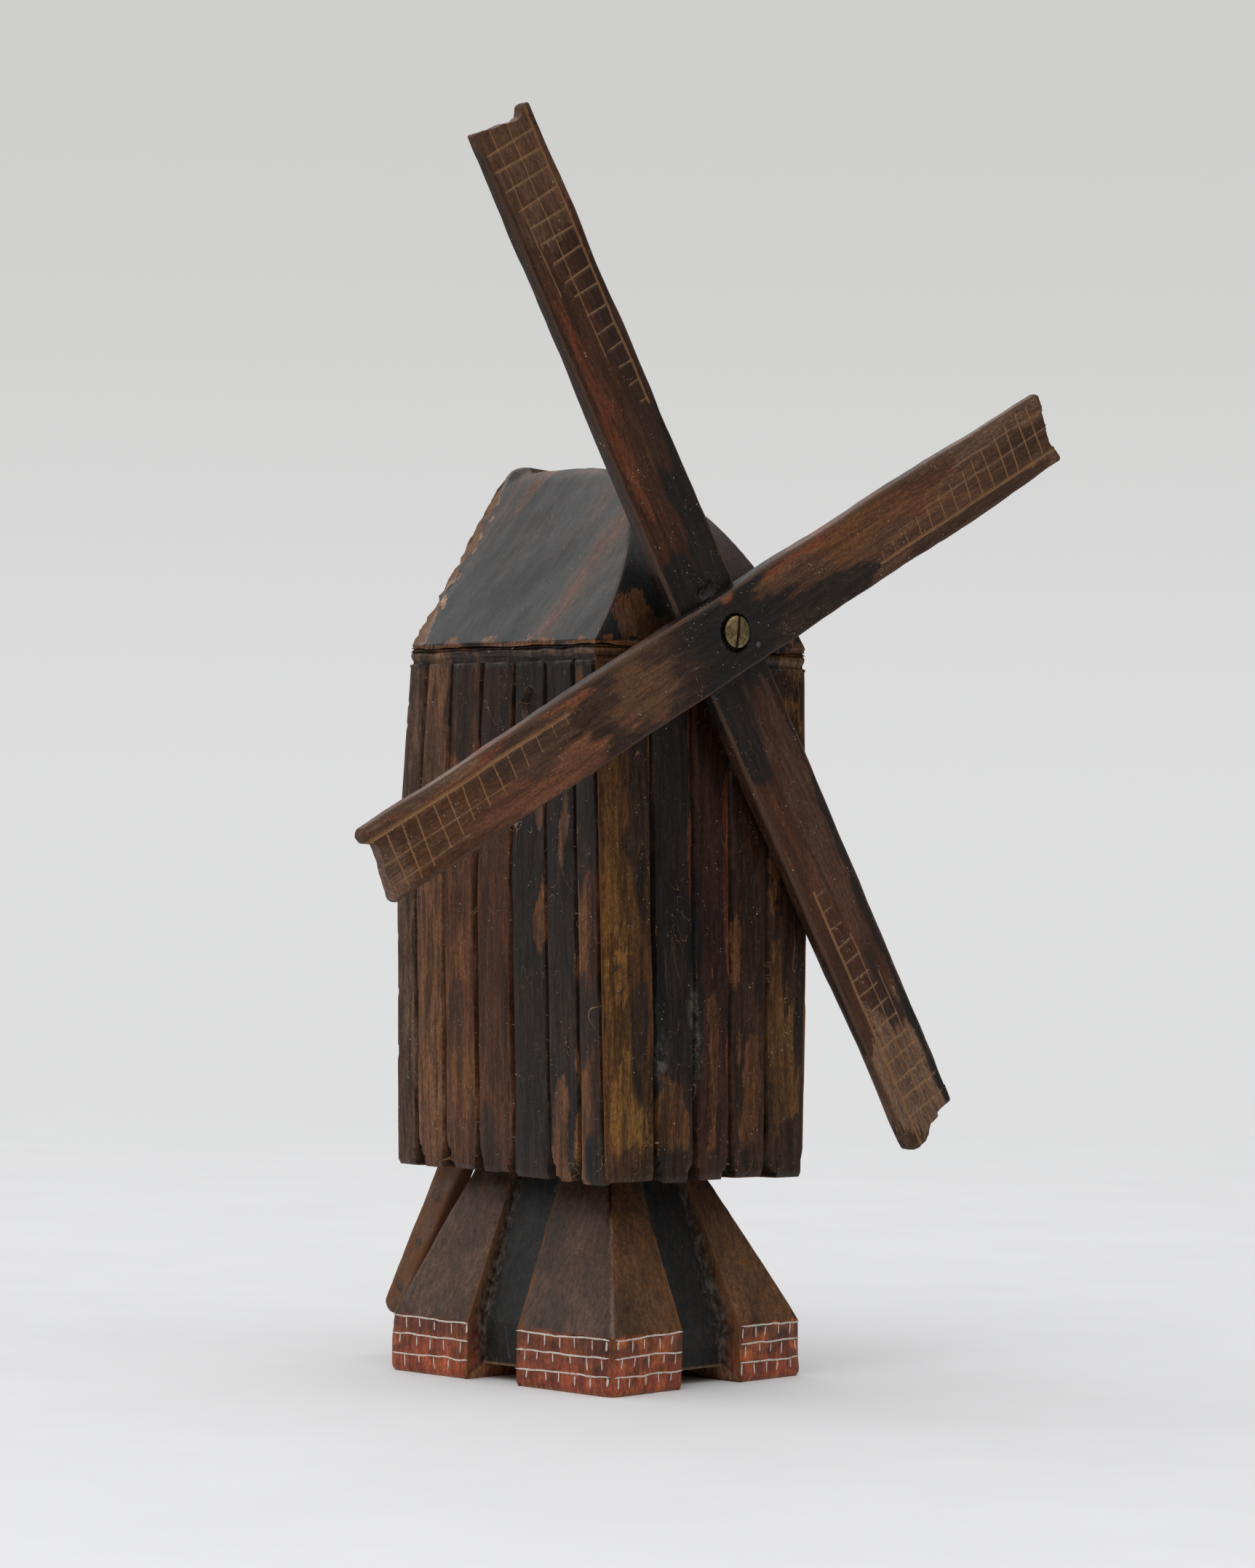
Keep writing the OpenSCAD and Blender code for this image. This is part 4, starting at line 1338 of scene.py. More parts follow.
@dataclass
class BaseBlock:
    """The four-legged base, with its webs set back between the legs and a painted band of bricks."""

    height: float
    width: float = 62.4
    depth: float = 67.0
    top_w: float = 31.0
    top_d: float = 41.0
    shift_x: float = -2.0
    shift_y: float = 1.0
    band_h: float = 12.6
    angle: float = 7.2
    web_gap: float = 3.4
    web_foot: float = 4.8
    web_top: float = 1.6
    courses: tuple = (12.1, 8.3, 4.2)
    tick_pitch: float = 4.3
    tick_l: float = 2.4
    brush_half: float = 0.25
    side_channel: tuple[float, float] = (-4.6, 8.8)

    @classmethod
    def from_frame(cls) -> "BaseBlock":
        """Reads the height from the frame."""
        return cls(height=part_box("base_block")[1][2] / MM)

    def build(self) -> None:
        """Builds and dresses the block and its painted lines."""
        wood = StainedWood("base_stain", gloss=0.46, coat=0.05, edge_tone=Tone.WARM, edge_amount=0.45,
                           cut_tone=Tone.BLACK, streak=0.30, speck=0.5, scratch=0.3, relief=0.08, shine=0.20)
        shape = self._block()
        Place("base", "base_wood", ("base_block",)).settle(shape.object("base_legs"), wood.material())
        lines = self._mortar()
        Place("base", "base_wood").settle(lines.object("mortar_lines"), BrushPaint("mortar_paint").material())

    def _half_x(self, z: Array) -> Array:
        """The half-width at a height."""
        return np.interp(z, [0, self.band_h, self.height], [self.width / 2, self.width / 2, self.top_w / 2])

    def _half_y(self, z: Array) -> Array:
        """The half-depth at a height."""
        return np.interp(z, [0, self.band_h, self.height], [self.depth / 2, self.depth / 2, self.top_d / 2])

    def _moved(self, z: Array, shift: float) -> Array:
        """How far the section has moved sideways at a height."""
        return np.interp(z, [0, self.band_h, self.height], [0, 0, shift])

    def _end_channel(self, z: Array | float) -> tuple[Array, Array]:
        """The two edges of the front and back webs at a height."""
        part = z / self.height
        return -8.2 + 0.3 * part, 9.9 - 3.2 * part

    @staticmethod
    def _knots(at: Array, knots: tuple) -> Array:
        """Places from 0 to 3, put between four knots.

        Args:
            at: Places from 0 to 3.
            knots: The four knots.

        Returns:
            The places in millimetres.
        """
        total = knots[0]
        for number in range(3):
            total = total + (knots[number + 1] - knots[number]) * np.clip(at - number, 0, 1)
        return total

    def _block(self) -> Shape:
        """Builds the legs and webs.

        Returns:
            The block, carved and coloured.
        """
        leg = places(0, 1, 0.05, fine=0.02)
        leg = np.array([*leg[:-1], 0.985])
        web = places(0, 1, 0.07, fine=0.03)
        line = np.array([*leg, *(1 + web), *(3 - leg[::-1])])
        z_rows = places(0, self.height, 0.75, (self.band_h,), 1.0, 0.25)
        block = Block(line, line, z_rows / self.height, End.GRID, End.GRID)
        in_x = (block.at_u >= 1) & (block.at_u <= 2)
        in_y = (block.at_v >= 1) & (block.at_v <= 2)
        bottom = np.where(in_x | in_y, self.web_gap, 0.0)
        z = bottom + (self.height - bottom) * block.at_w
        set_back = self.web_foot + (self.web_top - self.web_foot) * z / self.height
        half_x, half_y = self._half_x(z), self._half_y(z)
        move_x, move_y = self._moved(z, self.shift_x), self._moved(z, self.shift_y)
        deep_x, deep_y = np.where(in_y, set_back, 0), np.where(in_x, set_back, 0)
        edges_x, edges_y = self._end_channel(z), self.side_channel
        x = self._knots(block.at_u, (move_x - half_x + deep_x, *edges_x, move_x + half_x - deep_x))
        y = self._knots(block.at_v, (move_y - half_y + deep_y, *edges_y, move_y + half_y - deep_y))
        shape = Shape(np.column_stack([x, y, z]), block.quads, block.tris)
        side = (block.at_u <= 0) | (block.at_u >= 3)
        web_face = (side & in_y) | (~side & in_x)
        across = np.where(side, block.at_v, block.at_u)
        inner = np.clip(np.minimum(np.abs(across - 1), np.abs(across - 2)) * 13.0, 0, 9)
        from_side = np.minimum(block.at_u, 3 - block.at_u)
        from_end = np.minimum(block.at_v, 3 - block.at_v)
        corner = ease(0.07, 0.0, np.minimum(from_side + from_end, 1))
        leg_edge = ease(1.5, 0.1, inner) * ~web_face
        stain = self._stain(shape.points, side, web_face, inner, corner, block.at_w <= 0)
        edge = np.maximum(corner * 0.55, leg_edge * 0.9)
        edge = np.maximum(edge, ease(0.9, 0.0, np.abs(z - self.band_h)) * 0.2 * ~web_face)
        chisel = np.where(z > 30, ripple(z / 1.6, x / 14, y / 14, 201), 0) * 0.16 * ease(30, 38, z)
        blunt = 0.9 + 0.5 * ripple(z / 7, x.round() / 20, y.round() / 20, 205)
        depth = self._waves(x, y, z) + chisel * ~web_face + blunt * corner + 0.35 * leg_edge
        depth = depth + 0.7 * ease(1.5, 0.0, z) ** 2
        dusty = ease(34, 16, z) * ease(self.band_h, self.band_h + 3, z) * 0.14
        hollow = np.where(web_face, ease(2.4, 0.2, inner) * 0.9 + 0.12, 0.04 + dusty)
        shape.masks = {**bare_layers(stain), "grain": np.column_stack([x, y, z]), "edge": np.clip(edge, 0, 1),
                       "cut": np.zeros_like(z), "hollow": np.clip(hollow, 0, 1)}
        shape.carve(depth, (z < 0.5) | (block.at_w <= 0) | (block.at_w >= 1))
        shape.points[:, 2] = np.clip(shape.points[:, 2], 0, self.height)
        shape.points = shape.points @ turn(self.angle).T
        return shape

    @staticmethod
    def _waves(x: Array, y: Array, z: Array) -> Array:
        """The depth of the hand-cut unevenness of the faces."""
        return 0.20 * rough(x / 8, y / 8, z / 10, 211) + 0.04 * rough(x / 1.8, y / 1.8, z / 3, 214)

    def _stain(self, spots: Array, side: Array, web: Array, inner: Array, corner: Array,
               under: Array) -> Array:
        """Colours the block.

        Args:
            spots: The vertices' places.
            side: Which vertices lie on the left and right.
            web: Which vertices lie on the webs.
            inner: The distance from the nearest edge between a leg and a web.
            corner: The corners' mask.
            under: Which vertices lie underneath.

        Returns:
            The colours.
        """
        x, y, z = spots.T
        cloud = rough(x / 8, y / 8, z / 16, 221, 4)
        stain = np.where(side[:, None], Tone.MUD.rgb, (Tone.WARM.rgb + Tone.OCHRE.rgb) / 2)
        stain = stain * (0.92 + 0.55 * cloud)[:, None]
        stain = paint(stain, Tone.UMBER, ease(30, 45, z + 6 * cloud) * 0.6)
        smoky = ease(0.15, 0.55, rough(x / 5, y / 5, z / 12, 225, 4))
        stain = paint(stain, Tone.SOOT, smoky * 0.42)
        # A pale line down each leg's corner above the bricks: a painted highlight on the rounded corner.
        stain = paint(stain, Tone.HAZEL, ease(0.5, 0.95, corner) * ease(48, 34, z) * 0.8)
        stain = paint(stain, Tone.WARM, ease(2.6, 0.3, inner) * 0.35 * ease(-0.5, 0.5, cloud))
        brick = ease(self.band_h + 0.5, self.band_h - 0.4, z + 0.35 * ripple(x / 4, y / 4, 0.0, 231))
        stain = paint(stain, Tone.BRICK_DARK, brick * 0.9)
        glow = ease(self.band_h - 1.0, 2.0, z + 3.5 * rough(x / 6, y / 6, z / 4, 241)) * brick
        stain = paint(stain, Tone.BRICK, glow * 0.75)
        ruddy = np.clip(rough(x / 4, y / 4, z / 3, 251) * 1.6 + 0.2, 0, 1) * brick * np.where(side, 0.25, 1.0)
        stain = paint(stain, Tone.EMBER, ruddy)
        sooty = np.clip(rough(x / 4, y / 4, z / 2.5, 255) * 1.3 - 0.1, 0, 0.7) * brick
        stain = paint(stain, Tone.UMBER, sooty)
        stain = paint(stain, Tone.GOLD, ease(0.0, 1.0, corner) * (brick > 0.5) * 0.22)
        black = np.tile(Tone.BLACK.rgb * 0.9, (len(z), 1))
        black = paint(black, Tone.UMBER, ease(2.0, 0.1, inner) * 0.7)
        stain = np.where(web[:, None], black, stain)
        stain = paint(stain, Tone.RAW, np.where(under & (z < 4), 0.55, 0))
        return np.clip(stain, 0.004, 1)

    def _mortar(self) -> Shape:
        """Builds the painted lines: three wavy ones on each leg's face, with short ticks under each.

        Returns:
            All the strokes in one shape.
        """
        random = np.random.default_rng(7)
        strokes = []
        for number in range(4):
            sideways = number % 2 == 1
            half, off = (self.depth, self.width) if sideways else (self.width, self.depth)
            face = BrickFace(off / 2, -1 if number in (0, 3) else 1, sideways)
            low, high = self.side_channel if sideways else self._end_channel(0.0)
            for start, end in ((-half / 2 + 0.9, low - 0.5), (high + 0.5, half / 2 - 0.9)):
                strokes += self._strokes(random, face, start, end)
        shape = join_shapes([self._stroke(*stroke) for stroke in strokes])
        shape.points = shape.points @ turn(self.angle).T
        return shape

    def _strokes(self, random: np.random.Generator, face: BrickFace, start: float, end: float) -> list[tuple]:
        """Lists one leg face's brush strokes.

        Args:
            random: The source of unevenness.
            face: The face.
            start: The leg's first edge on it.
            end: The leg's other edge.

        Returns:
            For each stroke, its face, its points along the face and up, and its half-width.
        """
        made = []
        for number, level in enumerate(self.courses):
            along = np.linspace(start, end, 22)
            phase = random.uniform(0, 50)
            wave = 0.34 * rough(along / 4.5 + phase, 0.0, float(number), 261, 3)
            sag = random.uniform(-0.35, 0.35) * (along - start) / (end - start)
            made.append((face, along, level + wave + sag, self.brush_half * 1.05))
            count = max(2, round((end - start) / self.tick_pitch))
            offset = 0.5 if number % 2 else 0.15
            for tick in range(count + 1):
                place = start + (end - start) * (tick + offset + random.uniform(-0.12, 0.12)) / count
                if not start + 0.3 < place < end - 0.3:
                    continue
                length = self.tick_l * random.uniform(0.75, 1.15)
                lean = random.uniform(-0.35, 0.25)
                top = level - 0.1 + random.uniform(-0.25, 0.1)
                down = np.linspace(0, 1, 6)
                bottom = max(top - length, 0.7)
                width = self.brush_half * random.uniform(0.8, 1.1)
                made.append((face, place + lean * down**1.5, top + (bottom - top) * down, width))
        return made

    def _stroke(self, face: BrickFace, along: Array, up: Array, half: float) -> Shape:
        """Builds one brush stroke as a low closed ridge.

        Args:
            face: Its face.
            along: Its places along the face.
            up: Its heights.
            half: Its half-width.

        Returns:
            The stroke.
        """
        step = np.gradient(np.column_stack([along, up]), axis=0)
        step /= np.linalg.norm(step, axis=1)[:, None]
        across = np.column_stack([-step[:, 1], step[:, 0]])
        part = np.linspace(-1, 1, len(along))
        swell = np.sqrt(np.clip(1.02 - part**8, 0, 1))
        swell = swell * (1 + 0.28 * ripple(along / 0.9, up / 0.9, face.off, 271))
        rings = []
        for out, rise in ((-1.0, -0.12), (-0.55, 0.06), (0.55, 0.06), (1.0, -0.12)):
            spot = np.column_stack([along, up]) + across * (out * half * swell)[:, None]
            plane = np.full(len(spot), face.off * face.flip)
            x, y = (plane, spot[:, 0]) if face.sideways else (spot[:, 0], plane)
            level = (rise - self._waves(x, y, spot[:, 1])) * face.flip
            x, y = (x + level, y) if face.sideways else (x, y + level)
            rings.append(np.column_stack([x, y, spot[:, 1]]))
        points = np.stack(rings, axis=1).reshape(-1, 3)
        return tube_shape(points, len(rings))


def ring_quads(rings: int, around: int) -> Array:
    """The quads between rings of vertices that follow one another.

    Args:
        rings: The number of rings.
        around: The number of vertices in a ring.

    Returns:
        The quads, ring by ring.
    """
    near = np.arange((rings - 1) * around)
    far = near - near % around + (near + 1) % around
    return np.stack([near, far, far + around, near + around], axis=1)


def tube_shape(points: Array, around: int) -> Shape:
    """Closes rings of points into a solid whose places are its finish's coordinates.

    Args:
        points: The rings' points, ring by ring.
        around: The number of points in a ring.

    Returns:
        The solid.
    """
    last = len(points) - around
    fans = [(0, k + 1, k) for k in range(1, around - 1)]
    fans += [(last, last + k, last + k + 1) for k in range(1, around - 1)]
    shape = Shape(points, ring_quads(len(points) // around, around), np.array(fans))
    shape.masks = {"grain": points.copy(), "hollow": np.zeros(len(points))}
    return shape


def join_shapes(parts: list[Shape]) -> Shape:
    """Joins shapes that carry the same masks into one.

    Args:
        parts: The shapes.

    Returns:
        The joined shape.
    """
    starts = np.cumsum([0, *[len(part.points) for part in parts[:-1]]])
    quads = np.vstack([part.quads + start for part, start in zip(parts, starts)])
    tris = np.vstack([part.tris + start for part, start in zip(parts, starts)])
    masks = {key: np.concatenate([part.masks[key] for part in parts]) for key in parts[0].masks}
    return Shape(np.vstack([part.points for part in parts]), quads, tris, masks)


# ---- The sails ----


@dataclass(frozen=True)
class Arm:
    """The carved lattice and the tip of one arm.

    Places are measured outwards from the screw, and clockwise from the bar's middle as seen from
    the front. step_back lists how far the tip is cut back: pairs of clockwise place and depth.
    """

    tip: float
    rib: float
    lines: tuple[float, ...]
    line_ends: tuple[float, ...]
    groove_half: float
    rungs: int
    first_rung: float
    pitch: float
    step_back: tuple[tuple[float, float], ...]
    seed: int

    def rung_places(self) -> list[float]:
        """The cross cuts' places, from the tip inwards."""
        uneven = np.random.default_rng(self.seed).uniform(-0.35, 0.35, self.rungs)
        return [self.tip - self.first_rung - self.pitch * k + uneven[k] for k in range(self.rungs)]

    def cuts(self, out: Array, round_: Array, edge: float) -> Array:
        """How deep each place is cut, from 0 to about 1.5.

        Args:
            out: Places outwards.
            round_: Places clockwise.
            edge: The clockwise place of the far edge, which is below 0.

        Returns:
            The depth, in cuts.
        """
        inner = self.tip - self.first_rung - self.pitch * (self.rungs - 0.6)
        groove_at = self.rib + 0.16 * ripple(out / 9, self.seed, 0.0, 301)
        run = ease(inner - 1.5, inner + 3, out)
        total = 1.2 * np.clip(vee(round_ - groove_at, self.groove_half) * 1.4, 0, 1) * run
        for place, end in zip(self.lines, self.line_ends):
            at = place + 0.22 * ripple(out / 8, place, 0.0, 303 + self.seed)
            run = ease(end - 1.0, end + 2.0, out)
            thin = vee(round_ - at, 0.34) * run * (0.85 + 0.3 * ripple(out / 3, place, 1.0, 305))
            total = np.maximum(total, thin)
        for number, place in enumerate(self.rung_places()):
            part = number / max(self.rungs - 1, 1)
            reach = edge + 1.2 + (self.rib - 2.6 - edge - 1.2) * np.clip((part - 0.12) * 1.12, 0, 1) ** 0.85
            along = ease(reach - 0.7, reach + 0.7, round_) * ease(self.rib + 0.5, self.rib - 0.1, round_)
            slant = place + 0.035 * (round_ - self.rib) * math.sin(number * 1.7 + self.seed)
            total = np.maximum(total, vee(out - slant, 0.42) * along * (0.95 - 0.3 * part))
        return total

    def cut_back(self, round_: Array) -> Array:
        """How far the tip is cut back at each clockwise place."""
        places_, depths = zip(*self.step_back)
        return np.interp(round_, places_, depths)


@dataclass
class SailBar:
    """One of the two crossed bars: a flat board with a carved lattice at each end."""

    name: str
    angle: float
    front_y: float
    plus: Arm
    minus: Arm
    hub_z: float
    shift: float = 0.0
    hub_w: float = 17.8
    tip_w: float = 17.2
    hub_t: float = 4.0
    tip_t: float = 2.6
    boss_l: float = 18.0
    taper_l: float = 110.0
    edge_r: float = 0.7
    lap: float = 0.5
    lap_front: bool = False
    screw_hole: float = 0.0
    tone: Tone = Tone.RED_BROWN
    patches: tuple[Patch, ...] = ()
    seed: int = 0

    def shape(self) -> Shape:
        """Builds the bar's mesh.

        Returns:
            The bar, carved and coloured.
        """
        through = np.array([0.0, 0.1, 0.28, 0.5, 0.72, 0.9, 1.0])
        block = Block(self._columns(), through, self._rows(), End.GRID, End.GRID)
        along = block.at_w
        levels = [self.boss_l, self.taper_l]
        half = np.interp(np.abs(along), levels, [self.hub_w / 2, self.tip_w / 2])
        thick = np.interp(np.abs(along), levels, [self.hub_t, self.tip_t])
        wavy = 0.25 * ripple(along / 17, block.at_u.round(), 0.0, 311 + self.seed)
        across = block.at_u * half + wavy * np.abs(block.at_u)
        deep = thick * block.at_v
        along = self._tips(along, across)
        point = self._round(across, deep, along, half, thick, block)
        across, deep, along = point.T
        front = block.at_v <= 0
        back = block.at_v >= 1
        cuts = self._cuts(across, along) * front
        world = self._place(across + self.shift, deep, along)
        shape = Shape(world, block.quads, block.tris)
        tools = 0.14 * rough(across / 6, deep / 2, along / 14, 321 + self.seed)
        tools = tools + 0.045 * rough(across / 1.4, deep, along / 7, 324 + self.seed)
        depth = tools + 0.42 * cuts
        crossing = ease(9.4, 8.8, np.abs(along)) * (front if self.lap_front else back)
        depth = np.where(crossing > 0, crossing * (self.lap + 0.02) + depth * (1 - crossing), depth)
        recess = self._recess(across, along) * front
        depth = np.where(recess > 0, 1.25 * recess, depth)
        chip = self._chip(across, along) * front
        depth = depth + chip
        shape.masks = self._masks(block, point, half, cuts, recess, chip)
        shape.carve(depth)
        return shape

    def _columns(self) -> Array:
        """The places across the bar, from -1 to 1, close together at the lines.

        Returns:
            The places in rising order.
        """
        half = self.hub_w / 2
        marks = []
        for arm, way in ((self.plus, -1), (self.minus, 1)):
            marks += [way * place for place in (arm.rib, *arm.lines)]
        spots = places(-half, half, 0.75, tuple(marks), 0.6, 0.2)
        return np.unique(np.round([*spots, -half + 0.2, half - 0.2], 3)) / half

    def _rows(self) -> Array:
        """The places along the bar, close together at the cross cuts and at the screw.

        Returns:
            The places in rising order.
        """
        marks = [*self.plus.rung_places(), *[-place for place in self.minus.rung_places()]]
        ends = (-self.minus.tip, self.plus.tip)
        marks += [ends[0] + 0.5, ends[1] - 0.5]
        if self.screw_hole:
            marks += list(np.arange(-5.2, 5.3, 1.3))
        return places(ends[0], ends[1], 1.0, tuple(marks), 0.66, 0.22)

    def _tips(self, along: Array, across: Array) -> Array:
        """Cuts the tips back to their outlines.

        Args:
            along: Places along the bar.
            across: Places across it.

        Returns:
            The new places along it.
        """
        for arm, way in ((self.plus, 1), (self.minus, -1)):
            out = along * way
            near = ease(arm.tip - 4.2, arm.tip, out)
            back = arm.cut_back(-across * way) + 0.2 * rough(across / 1.5, arm.seed, 0.0, 331)
            along = along - way * back * near
        return along

    def _round(self, across: Array, deep: Array, along: Array, half: Array, thick: Array,
               block: Block) -> Array:
        """Rounds the bar's long edges.

        Args:
            across: Places across the bar.
            deep: Places through it.
            along: Places along it.
            half: Its half-width there.
            thick: Its thickness there.
            block: The block.

        Returns:
            The points as across, deep and along.
        """
        zero = np.zeros_like(along)
        flat = np.column_stack([across, deep, zero])
        radius = self.edge_r * (1 + 0.5 * rough(along / 8, block.at_u.round(), 0.0, 341 + self.seed))
        side = np.clip(np.abs(block.at_u), 0, 1)
        limit = np.where(side > 0.6, np.abs(across) / np.maximum(side, 0.1), half)
        low, high = np.column_stack([-limit, zero, zero]), np.column_stack([limit, thick, zero])
        moved = rounded(flat, low, high, radius)
        return np.column_stack([moved[:, 0], moved[:, 1], along])

    def _place(self, across: Array, deep: Array, along: Array) -> Array:
        """Puts points of the bar into the row's axes.

        Args:
            across: Places across the bar.
            deep: Places through it.
            along: Places along it.

        Returns:
            The points.
        """
        angle = math.radians(self.angle)
        x = along * math.cos(angle) - across * math.sin(angle)
        z = along * math.sin(angle) + across * math.cos(angle)
        return np.column_stack([x, self.front_y + deep, self.hub_z + z])

    def _cuts(self, across: Array, along: Array) -> Array:
        """The lattice cuts of both arms.

        Args:
            across: Places across the bar.
            along: Places along it.

        Returns:
            The depth, in cuts.
        """
        edge = -self.tip_w / 2
        plus = self.plus.cuts(along, -across, edge) * (along > 0)
        minus = self.minus.cuts(-along, across, edge) * (along < 0)
        return plus + minus

    def _recess(self, across: Array, along: Array) -> Array:
        """The recess round the screw's head.

        Args:
            across: Places across the bar.
            along: Places along it.

        Returns:
            A mask from 0 to 1.
        """
        if not self.screw_hole:
            return np.zeros_like(across)
        x, z = self._place(across + self.shift, 0.0 * across, along)[:, [0, 2]].T
        near = np.hypot(x + 0.28, z - self.hub_z + 0.22)
        return ease(self.screw_hole + 0.16, self.screw_hole - 0.16, near)

    def _chip(self, across: Array, along: Array) -> Array:
        """The chip broken out of the back bar just above the crossing.

        Args:
            across: Places across the bar.
            along: Places along it.

        Returns:
            The depth.
        """
        if not self.lap_front:
            return np.zeros_like(across)
        near = np.hypot((along - 10.6) / 1.5, (across + 1.2) / 3.4)
        return 1.3 * ease(1.1, 0.6, near + 0.3 * rough(across / 2, along / 2, 0.0, 351))

    def _masks(self, block: Block, point: Array, half: Array, cuts: Array, recess: Array,
               chip: Array) -> dict[str, Array]:
        """Colours the bar.

        Args:
            block: The block.
            point: Places across, through and along the bar.
            half: Its half-width there.
            cuts: The lattice cuts.
            recess: The recess round the screw.
            chip: The chip's depth.

        Returns:
            The masks, stain and coordinates.
        """
        across, deep, along = point.T
        front = block.at_v < 0.5
        flank = (np.abs(block.at_u) >= 1) & (block.at_v > 0.15)
        cloud = rough(across / 6, deep / 4, along / 26, 361 + self.seed, 4)
        stain = self.tone.rgb * (0.92 + 0.4 * cloud)[:, None]
        faces = {"front": (front, across, along), "all": (np.ones_like(along), across, along)}
        # The recess round the screw and the chip are painted black: painted shade in these hollows.
        stain = paint(stain, Tone.BLACK, np.clip(recess + chip, 0, 1))
        # The narrow flanks and the back face are painted darker: painted shade on the faces turned from the
        # light.
        stain = paint(stain, Tone.SOOT, np.where(flank, 0.6, np.where(block.at_v >= 1, 0.35, 0)))
        from_edge = half - np.abs(across)
        edge = ease(1.2, 0.2, from_edge) * np.where(block.at_v >= 1, 0.5, 1) * np.where(flank, 0.2, 1)
        tips = np.minimum(self.plus.tip - along, along + self.minus.tip)
        edge = np.maximum(edge, ease(2.6, 0.2, tips) * 0.9)
        rim = vee(recess - 0.4, 0.4) * 0.5
        layers = lay_patches(np.clip(stain, 0.004, 1), self.patches, faces, 371 + self.seed)
        return {**layers, "grain": point + 40 * self.seed, "edge": np.clip(edge + rim, 0, 1),
                "cut": np.clip(cuts, 0, 1), "hollow": np.clip(0.08 * cuts + chip, 0, 0.6)}


